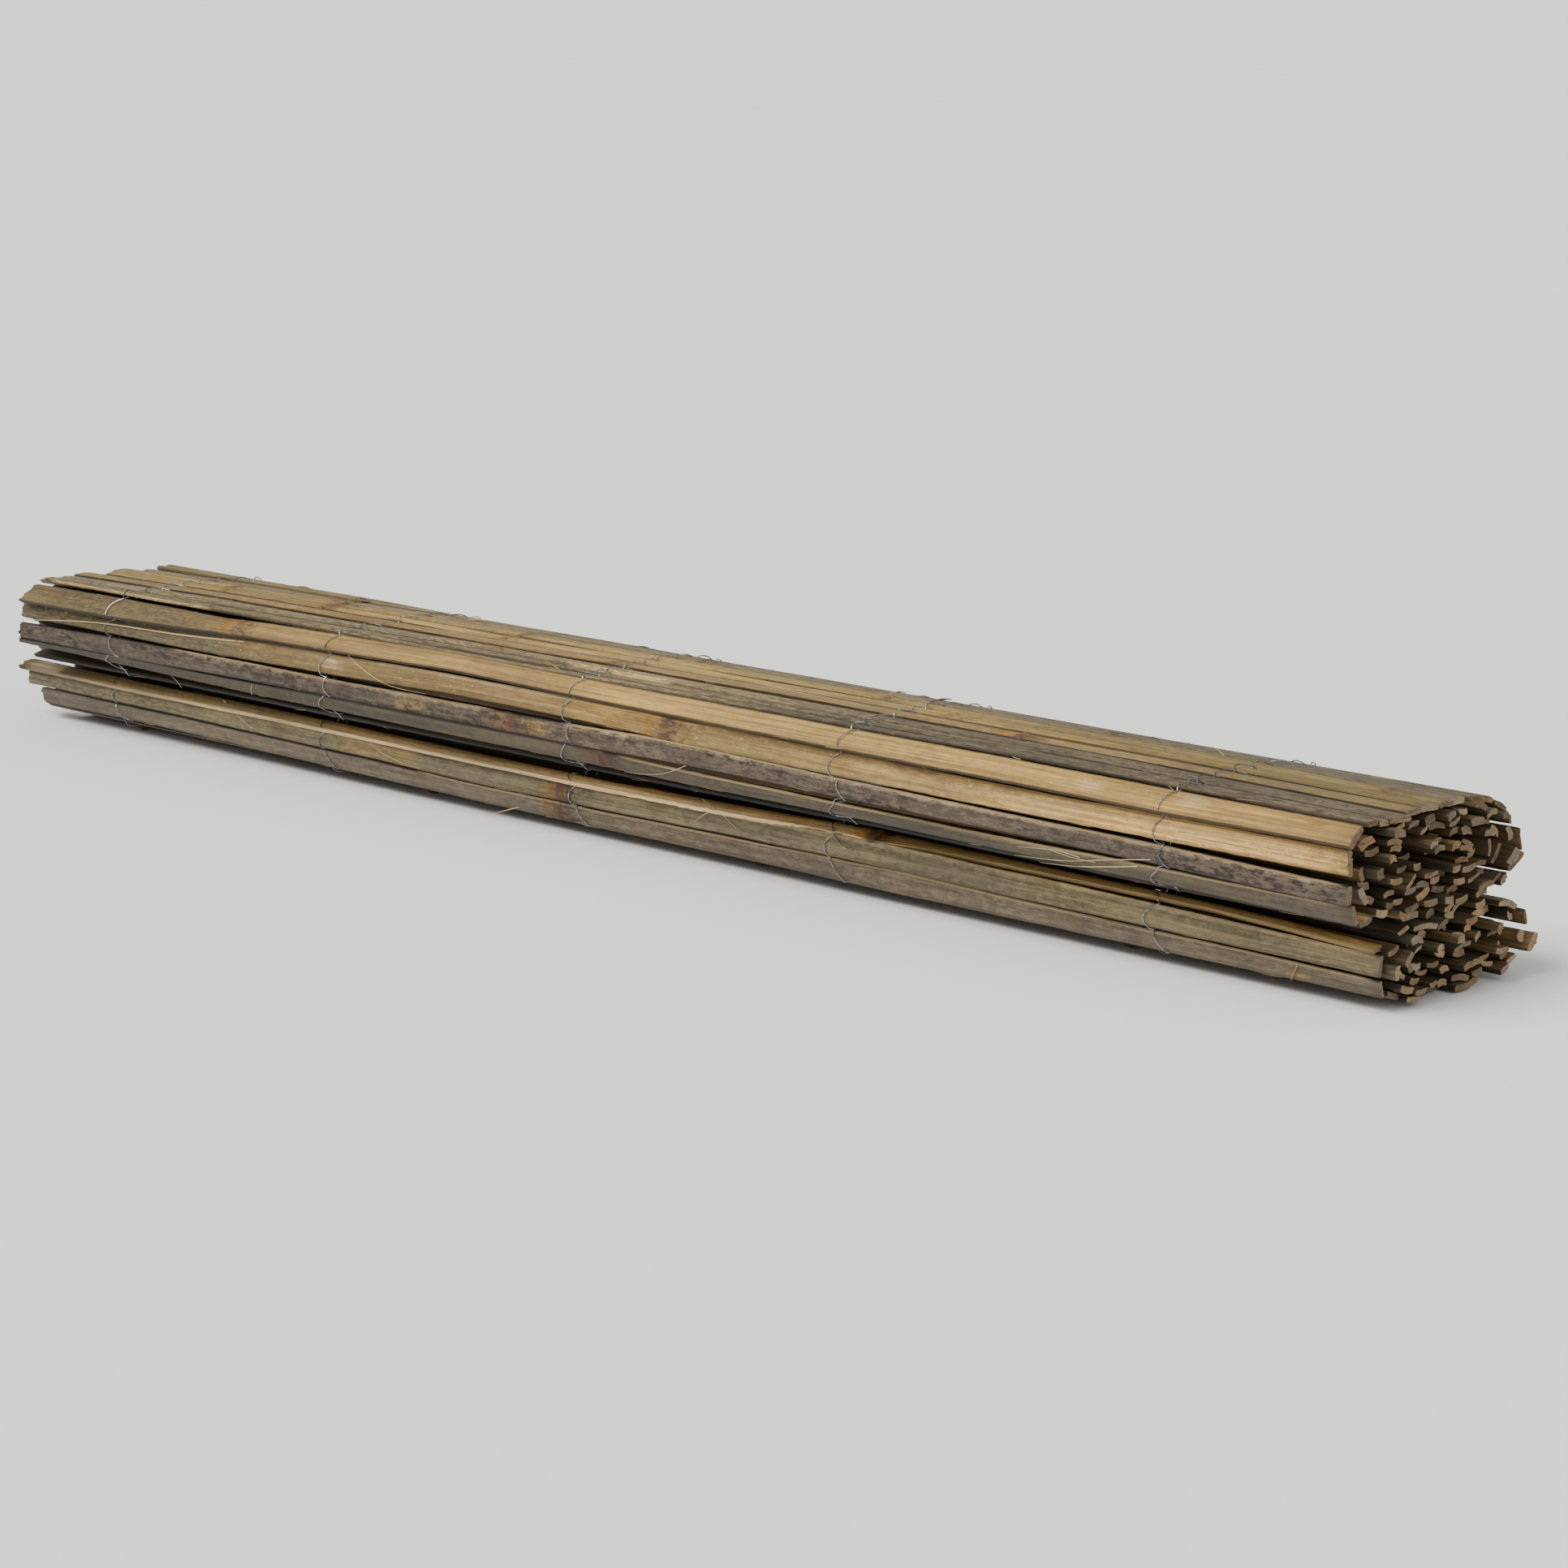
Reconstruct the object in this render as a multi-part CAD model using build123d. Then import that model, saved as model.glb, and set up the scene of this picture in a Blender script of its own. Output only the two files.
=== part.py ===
from build123d import *
import math
import os

# Rolled split-bamboo screen, rolled from both ends into an upper and a lower
# roll and lying on its side. Lengths in millimetres, +Z up, slats along X,
# origin on the floor under the middle of the bundle.

# ---- driving dimensions -------------------------------------------------
SLAT_LENGTH = 1000.0     # height of the screen when it stands unrolled
WIRE_ROWS = 5            # rows of binding wire along the slats
WIRE_ROW_PITCH = 200.0   # distance between rows
WIRE_SIZE = 0.5          # thickness of one strand
STRAND_PITCH = 0.62      # the two strands of a row lie side by side
LOWER_ROW_SHIFT = -29.0  # wire rows on the lower roll, against those on the upper
SLANT_FROM = -20.0       # y where a wire starts to slant between the two rolls
SLANT_TO = 40.0          # y where it runs straight again
EDGE_CHAMFER = 0.35      # broken edges on the flesh side of a slat
SKIN_DROP = 0.9          # how far the rounded skin falls at a slat's edges
KNUCKLE_LENGTH = 9.0     # length of a knuckle ridge along the slat
KNUCKLE_CREST = 3.6      # length of its flat crest
KNUCKLE_RISE = 0.7       # height of its crest over the skin
FLOOR_Z = 0.0            # plane on which the lowest knuckles rest

# ---- slat schedule ------------------------------------------------------
# One row for each slat, in the order in which the wire binds them, from the
# innermost slat of the lower roll to the innermost slat of the upper roll:
# y, z, turn about X in degrees, width, thickness, shift of the left end,
# shift of the right end, side of the skin.
SLATS = [
    (19.015, 23.052, 3.013, 12.49, 2.95, -1.9, 2.2, 1),
    (31.997, 23.673, -1.895, 9.58, 2.98, -3.2, -2.3, 1),
    (41.560, 23.551, -2.865, 8.20, 2.50, -0.6, 2.2, 1),
    (39.496, 17.849, -168.342, 9.26, 3.24, 1.0, 3.2, 1),
    (29.782, 18.174, -175.312, 7.20, 3.18, 2.7, -5.5, 1),
    (19.869, 18.291, 179.383, 9.86, 3.56, 0.3, -1.3, 1),
    (9.048, 17.726, 173.160, 8.49, 3.45, -1.3, -0.9, 1),
    (-1.208, 17.559, -173.547, 8.85, 2.53, -1.9, 1.6, 1),
    (-11.642, 17.692, -177.708, 7.20, 3.20, 1.8, -0.3, 1),
    (-21.363, 20.045, 139.681, 8.26, 3.07, 3.9, -0.6, -1),
    (-14.885, 25.810, 9.071, 10.38, 2.91, 0.7, -0.1, 1),
    (-4.135, 26.082, 0.807, 8.26, 3.27, -3.0, 4.4, 1),
    (5.543, 27.433, -2.453, 8.49, 3.44, -2.3, 5.2, 1),
    (16.216, 27.622, -2.041, 10.40, 3.07, 3.8, -1.3, 1),
    (27.873, 28.321, 1.638, 10.29, 3.50, 0.5, -2.2, 1),
    (40.415, 28.116, -2.042, 10.35, 3.52, -4.2, 5.5, 1),
    (51.634, 24.370, -48.020, 10.14, 3.34, -0.2, -2.4, 1),
    (49.175, 16.146, -151.011, 7.09, 3.84, -2.8, -1.4, 1),
    (39.198, 13.526, -168.867, 9.97, 2.65, -1.5, 0.1, 1),
    (28.154, 13.823, -175.931, 8.30, 2.78, -1.2, 1.2, -1),
    (17.726, 13.092, -173.386, 9.05, 3.24, -1.7, 2.5, -1),
    (7.175, 13.129, 178.439, 8.76, 2.83, 1.3, 0.9, -1),
    (-5.127, 13.219, 178.047, 10.77, 2.59, -0.2, -2.1, 1),
    (-16.362, 12.966, 176.519, 9.16, 3.28, -1.4, 1.2, 1),
    (-26.988, 16.418, 143.799, 9.56, 2.94, 1.0, 0.6, 1),
    (-28.190, 25.570, 31.721, 10.65, 3.24, 2.0, 4.5, 1),
    (-15.492, 29.966, 8.221, 10.09, 2.93, -3.9, -0.0, 1),
    (-4.409, 31.122, 10.170, 7.65, 3.05, -0.6, -3.2, 1),
    (7.415, 32.142, 0.180, 10.71, 3.20, -2.4, -2.5, 1),
    (19.281, 32.684, 1.585, 10.48, 3.30, -0.4, 3.5, -1),
    (32.299, 33.460, -3.455, 12.65, 3.90, -3.1, -1.3, 1),
    (44.739, 32.894, -2.943, 8.81, 3.90, 0.0, -5.1, 1),
    (56.152, 29.050, -28.589, 11.29, 3.35, -0.1, -1.4, -1),
    (59.715, 19.747, -99.942, 6.96, 3.09, -0.7, 0.0, -1),
    (52.604, 12.471, -152.645, 9.76, 3.22, -2.5, 2.9, 1),
    (41.512, 9.099, -179.666, 9.17, 2.67, -1.0, -2.4, 1),
    (29.657, 8.704, 177.956, 9.73, 2.84, -2.6, 1.6, 1),
    (17.603, 7.866, 178.632, 11.88, 3.44, -3.3, 1.9, -1),
    (4.929, 8.413, 174.726, 9.01, 3.35, 0.5, -1.7, -1),
    (-5.308, 8.545, -174.614, 7.20, 2.54, -2.7, -0.5, 1),
    (-16.264, 8.545, 175.490, 11.28, 2.95, 2.8, 4.2, 1),
    (-28.503, 10.971, 156.886, 10.19, 3.56, 1.7, 4.1, 1),
    (-35.991, 19.473, 101.768, 8.65, 3.01, -4.8, 2.1, 1),
    (-32.378, 28.522, 26.245, 8.67, 2.86, 0.7, 0.8, -1),
    (-23.680, 33.169, 12.076, 7.73, 3.65, -2.6, 2.7, 1),
    (-11.596, 34.863, 5.522, 13.06, 3.15, 0.1, -0.3, 1),
    (0.365, 36.584, 10.032, 7.74, 3.65, 0.1, -0.2, 1),
    (10.273, 37.004, 3.061, 9.17, 3.60, -4.8, -2.1, 1),
    (21.284, 38.079, 6.209, 9.76, 3.03, -0.6, 0.0, 1),
    (32.876, 38.798, 3.504, 8.80, 3.27, -0.6, -0.2, -1),
    (44.040, 38.309, -9.849, 10.35, 3.11, 2.3, 5.5, 1),
    (56.502, 34.907, -25.340, 12.27, 3.29, -2.8, -0.5, 1),
    (65.171, 27.482, -75.235, 7.23, 2.89, 1.8, 2.0, 1),
    (64.273, 16.787, -109.944, 10.27, 3.73, -2.6, 7.0, 1),
    (57.970, 8.249, -158.685, 7.50, 3.00, -0.8, -0.4, 1),
    (49.257, 5.536, -163.811, 8.01, 3.35, -2.0, 2.8, 1),
    (39.022, 4.285, -169.812, 9.76, 2.72, 3.5, -5.2, 1),
    (28.475, 3.653, -171.900, 7.54, 3.47, 1.4, 0.2, -1),
    (16.913, 2.982, -179.787, 10.85, 3.62, 5.5, 2.1, 1),
    (4.017, 3.523, 178.738, 11.53, 3.36, 1.5, -5.5, -1),
    (-8.053, 3.942, -174.024, 9.74, 3.32, 2.0, -2.8, 1),
    (-20.172, 3.557, 172.574, 11.47, 2.77, 2.0, 2.5, 1),
    (-30.949, 6.705, 161.352, 8.04, 3.11, -1.5, -0.6, 1),
    (-40.500, 10.729, 105.461, 8.55, 3.02, 0.0, 0.5, 1),
    (-41.532, 21.102, 85.956, 8.72, 3.36, 2.0, 0.0, 1),
    (-38.165, 31.624, 16.798, 9.87, 3.50, -4.0, -0.5, 1),
    (-28.553, 36.652, 28.530, 7.07, 2.40, 0.5, 1.7, -1),
    (-17.846, 39.392, 13.299, 11.98, 3.45, -0.1, 1.1, 1),
    (-4.836, 40.408, 9.996, 10.09, 3.33, 1.5, -0.7, 1),
    (6.560, 41.984, 5.956, 8.91, 2.78, -0.9, -1.6, -1),
    (18.727, 42.427, 5.103, 10.27, 3.56, -0.4, -0.1, -1),
    (30.011, 43.289, -1.179, 9.59, 2.79, 0.6, 3.2, 1),
    (40.871, 43.825, 3.791, 9.45, 3.34, 0.2, 0.8, 1),
    (51.258, 46.487, 17.674, 8.78, 3.27, -2.1, 1.5, 1),
    (60.068, 53.316, 46.054, 9.95, 3.48, 2.1, 4.0, -1),
    (63.292, 64.057, 81.825, 9.20, 2.64, -3.1, 3.0, 1),
    (60.030, 74.103, 121.009, 8.89, 2.35, -2.9, -1.7, -1),
    (51.312, 80.375, 149.505, 8.59, 2.51, -3.1, 1.6, -1),
    (41.456, 85.098, 165.476, 9.60, 3.06, 2.3, 0.2, -1),
    (30.310, 87.332, 167.201, 9.33, 3.31, -0.9, -2.2, -1),
    (18.436, 88.537, 178.298, 9.76, 3.39, -2.3, -3.9, -1),
    (6.630, 88.805, -171.611, 11.02, 2.38, -2.7, 0.3, -1),
    (-4.976, 88.832, 178.934, 9.11, 3.35, 1.0, -0.8, -1),
    (-17.476, 88.254, -170.766, 12.20, 3.00, -2.5, -0.8, -1),
    (-30.486, 87.924, -174.483, 10.40, 3.20, -3.1, 2.5, -1),
    (-41.222, 86.784, -175.585, 8.60, 2.80, -7.0, 0.7, -1),
    (-50.971, 88.771, 172.615, 8.24, 2.50, -2.9, 0.7, -1),
    (-61.770, 84.391, -142.275, 11.96, 3.00, -2.0, 0.5, -1),
    (-64.503, 71.549, -103.069, 10.06, 3.20, 1.0, -1.0, -1),
    (-66.040, 58.651, -88.025, 11.61, 3.20, 0.0, 0.0, -1),
    (-62.593, 46.659, -63.970, 9.33, 3.00, -0.1, 1.5, -1),
    (-53.230, 44.204, 13.588, 8.90, 2.80, 3.2, -0.8, -1),
    (-41.572, 44.971, -21.160, 11.01, 3.90, -1.2, -0.1, -1),
    (-29.885, 44.760, -1.354, 8.97, 3.36, -3.0, 1.2, -1),
    (-18.705, 44.583, 8.828, 10.45, 2.89, -4.4, -0.7, -1),
    (-7.664, 45.347, -0.895, 8.03, 3.32, -0.5, 1.3, -1),
    (1.781, 46.133, 5.062, 8.11, 3.61, -0.8, 2.8, -1),
    (11.778, 47.025, -1.963, 8.15, 3.36, 0.6, -1.9, 1),
    (21.248, 47.088, 5.483, 7.20, 2.84, -1.1, -4.2, -1),
    (31.771, 47.814, 2.441, 10.85, 3.19, -1.1, 2.9, 1),
    (44.521, 50.821, 19.706, 10.60, 3.04, -1.7, 0.0, 1),
    (54.528, 57.518, 45.951, 9.88, 3.24, -1.2, 1.7, -1),
    (56.316, 68.134, 86.929, 8.07, 2.84, 0.4, -3.2, -1),
    (49.611, 75.973, 153.725, 10.40, 3.01, -0.9, 4.2, -1),
    (38.715, 80.104, 179.344, 9.18, 3.23, 0.2, 1.8, -1),
    (27.292, 83.429, 171.104, 10.31, 2.49, 4.6, -0.3, -1),
    (16.067, 83.261, -178.508, 9.13, 2.49, 1.1, -0.8, 1),
    (4.145, 84.051, -178.353, 9.34, 3.18, -3.8, 0.3, -1),
    (-7.410, 84.044, 178.704, 10.50, 3.90, 4.2, -0.4, -1),
    (-19.279, 83.411, -174.808, 10.41, 3.00, 0.8, -0.7, -1),
    (-30.593, 83.190, -167.693, 7.20, 2.66, -2.3, -2.7, 1),
    (-40.555, 82.273, -174.715, 9.84, 3.77, 2.2, 3.0, -1),
    (-51.843, 78.784, -155.297, 10.16, 3.90, 0.0, -0.1, -1),
    (-59.764, 70.677, -108.658, 8.54, 3.11, -1.5, -4.0, 1),
    (-57.801, 59.114, -60.570, 11.17, 3.17, -1.5, 0.2, -1),
    (-46.874, 52.159, -6.217, 10.22, 3.90, -2.4, -5.5, 1),
    (-36.461, 49.568, 1.610, 7.20, 3.06, 0.1, 1.3, -1),
    (-25.775, 49.144, -5.546, 10.83, 3.05, 2.6, -0.8, -1),
    (-11.462, 50.149, 8.895, 11.30, 3.48, -0.8, -0.7, -1),
    (1.001, 50.865, 3.189, 9.84, 3.26, 1.0, 0.2, -1),
    (12.564, 51.790, 2.589, 10.70, 2.98, 4.5, -2.3, -1),
    (24.145, 51.693, 7.256, 9.71, 3.09, -2.9, 2.0, -1),
    (35.494, 52.984, 11.134, 8.57, 2.87, 0.6, -1.7, 1),
    (46.339, 59.413, 47.738, 12.73, 3.53, -0.7, -2.2, -1),
    (48.003, 70.482, 141.697, 9.34, 3.54, -2.5, -2.1, -1),
    (37.836, 75.618, 171.878, 10.46, 2.20, -2.5, 0.4, -1),
    (25.312, 78.748, 177.302, 10.70, 3.76, -0.0, 1.8, -1),
    (12.328, 79.166, 172.653, 12.04, 2.66, 1.0, -1.4, 1),
    (-0.756, 78.654, 173.532, 10.76, 3.13, -1.3, -3.6, -1),
    (-12.973, 78.727, -173.808, 9.71, 3.21, 0.1, 2.5, 1),
    (-25.259, 78.749, 177.741, 10.57, 2.94, 1.7, -2.6, -1),
    (-37.319, 77.793, -171.301, 10.59, 3.07, 0.7, 2.9, -1),
    (-48.473, 74.274, -162.271, 9.88, 3.42, 2.1, -0.1, 1),
    (-54.781, 66.058, -83.225, 9.08, 2.88, 1.1, -1.7, -1),
    (-47.299, 58.627, -23.175, 9.75, 3.52, 1.2, -1.5, -1),
    (-35.785, 53.723, 1.659, 9.05, 2.82, 4.4, 1.1, 1),
    (-24.272, 53.500, -4.631, 10.28, 3.37, 1.5, 2.1, -1),
    (-13.258, 55.089, 0.847, 9.01, 3.08, 0.3, -0.5, 1),
    (-3.834, 55.663, -0.188, 7.20, 3.30, 1.7, 2.3, -1),
    (7.411, 55.759, 5.811, 10.55, 2.92, -2.2, 5.0, 1),
    (20.378, 56.493, -0.244, 11.77, 3.26, -0.8, -0.5, -1),
    (33.833, 57.112, 7.581, 9.98, 2.82, 1.9, -2.8, 1),
    (41.695, 64.923, 83.667, 9.59, 2.80, 1.5, -2.5, -1),
    (35.022, 71.845, 169.704, 9.56, 3.42, 3.7, -3.3, -1),
    (23.721, 73.835, 178.135, 9.11, 3.70, 0.0, -1.5, -1),
    (11.521, 74.803, 173.720, 11.80, 3.36, -3.5, -1.7, -1),
    (-0.932, 73.638, -178.066, 9.27, 3.01, 4.7, -3.2, -1),
    (-12.727, 74.192, -178.921, 10.07, 2.53, 2.6, 1.3, -1),
    (-23.173, 74.112, -177.776, 7.78, 3.19, -2.5, -5.5, -1),
    (-32.659, 74.089, -172.363, 7.52, 3.17, 3.3, -3.2, -1),
    (-41.526, 71.532, -163.963, 5.73, 3.42, 0.1, 4.8, -1),
    (-47.942, 66.457, -78.448, 6.48, 3.85, -4.4, 2.5, -1),
    (-39.787, 61.376, -11.330, 9.16, 3.05, -1.0, 1.3, -1),
    (-27.989, 58.669, 6.096, 11.85, 3.32, -1.2, 1.1, -1),
    (-15.917, 59.254, -1.573, 9.48, 2.51, 3.8, 4.3, -1),
    (-3.118, 59.968, 2.657, 11.30, 2.43, -1.9, 1.3, -1),
    (9.132, 60.513, 7.336, 10.12, 3.54, -0.6, 0.2, -1),
    (20.317, 61.231, -5.958, 9.21, 2.82, -0.7, -3.0, 1),
    (31.097, 61.164, 4.125, 9.36, 3.00, -0.9, -0.2, -1),
    (31.760, 67.451, 162.811, 9.40, 2.40, -2.2, -1.8, -1),
    (18.416, 69.395, 177.611, 10.52, 2.36, 0.5, -1.7, 1),
    (7.126, 69.501, -172.733, 8.07, 3.90, 2.6, -1.7, -1),
    (-3.332, 69.224, -176.962, 10.11, 3.04, 1.5, -0.1, -1),
    (-15.129, 69.514, -176.151, 10.97, 3.77, -2.2, -0.8, -1),
    (-27.450, 69.400, 179.023, 10.93, 3.41, -2.8, 2.1, -1),
    (-28.840, 64.951, -1.146, 8.60, 2.70, 0.3, -3.2, -1),
    (-18.658, 64.009, -7.190, 9.81, 3.44, -1.7, -0.4, -1),
    (-6.282, 64.237, 6.487, 10.04, 3.54, -1.5, 4.5, -1),
    (6.391, 64.716, 6.444, 11.39, 2.95, -4.0, 0.1, -1),
    (19.965, 65.346, -4.887, 9.74, 2.73, 4.7, 2.9, 1),
]

# Knuckle ridges on the outside slats: slat number and places along X.
KNUCKLES = {
    50: [-291, -12, 251],
    51: [-259, -14, 269],
    52: [-443, -119, 189, 466],
    53: [-468, -184, 53, 331],
    54: [-447, -147, 122, 350],
    55: [-265, 52, 287],
    56: [-320, -12, 312],
    57: [-461, -128, 150, 428],
    58: [-412, -120, 149, 461],
    59: [-388, -80, 248],
    60: [-379, -120, 118, 348],
    61: [-436, -167, 93, 341],
    62: [-270, 26, 344],
    63: [-331, -40, 220],
    64: [-310, -38, 214],
    65: [-414, -107, 190, 465],
    66: [-266, -52, 300],
    73: [-312, -11, 234],
    74: [-368, -126, 127, 412],
    75: [-419, -85, 233],
    76: [-237, 84, 334],
    77: [-288, 20, 267],
    78: [-359, -62, 148],
    79: [-292, -17, 158, 308],
    80: [-296, 11, 295],
    81: [-376, -117, 158, 468],
    82: [-369, -118, 212],
    83: [-283, -19, 270],
    84: [-344, -49, 221],
    85: [-293, -45, 188, 435],
    86: [-189, 119, 434],
    87: [-338, -44, 245],
    88: [-287, 66, 388],
    89: [-465, -146, 93, 375],
    90: [-237, 20, 282],
    91: [-211, 81, 373],
}

# Slats of the underside that carry the bundle on their knuckles.
CARRYING = [56, 57, 58, 59, 60, 61]

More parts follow.
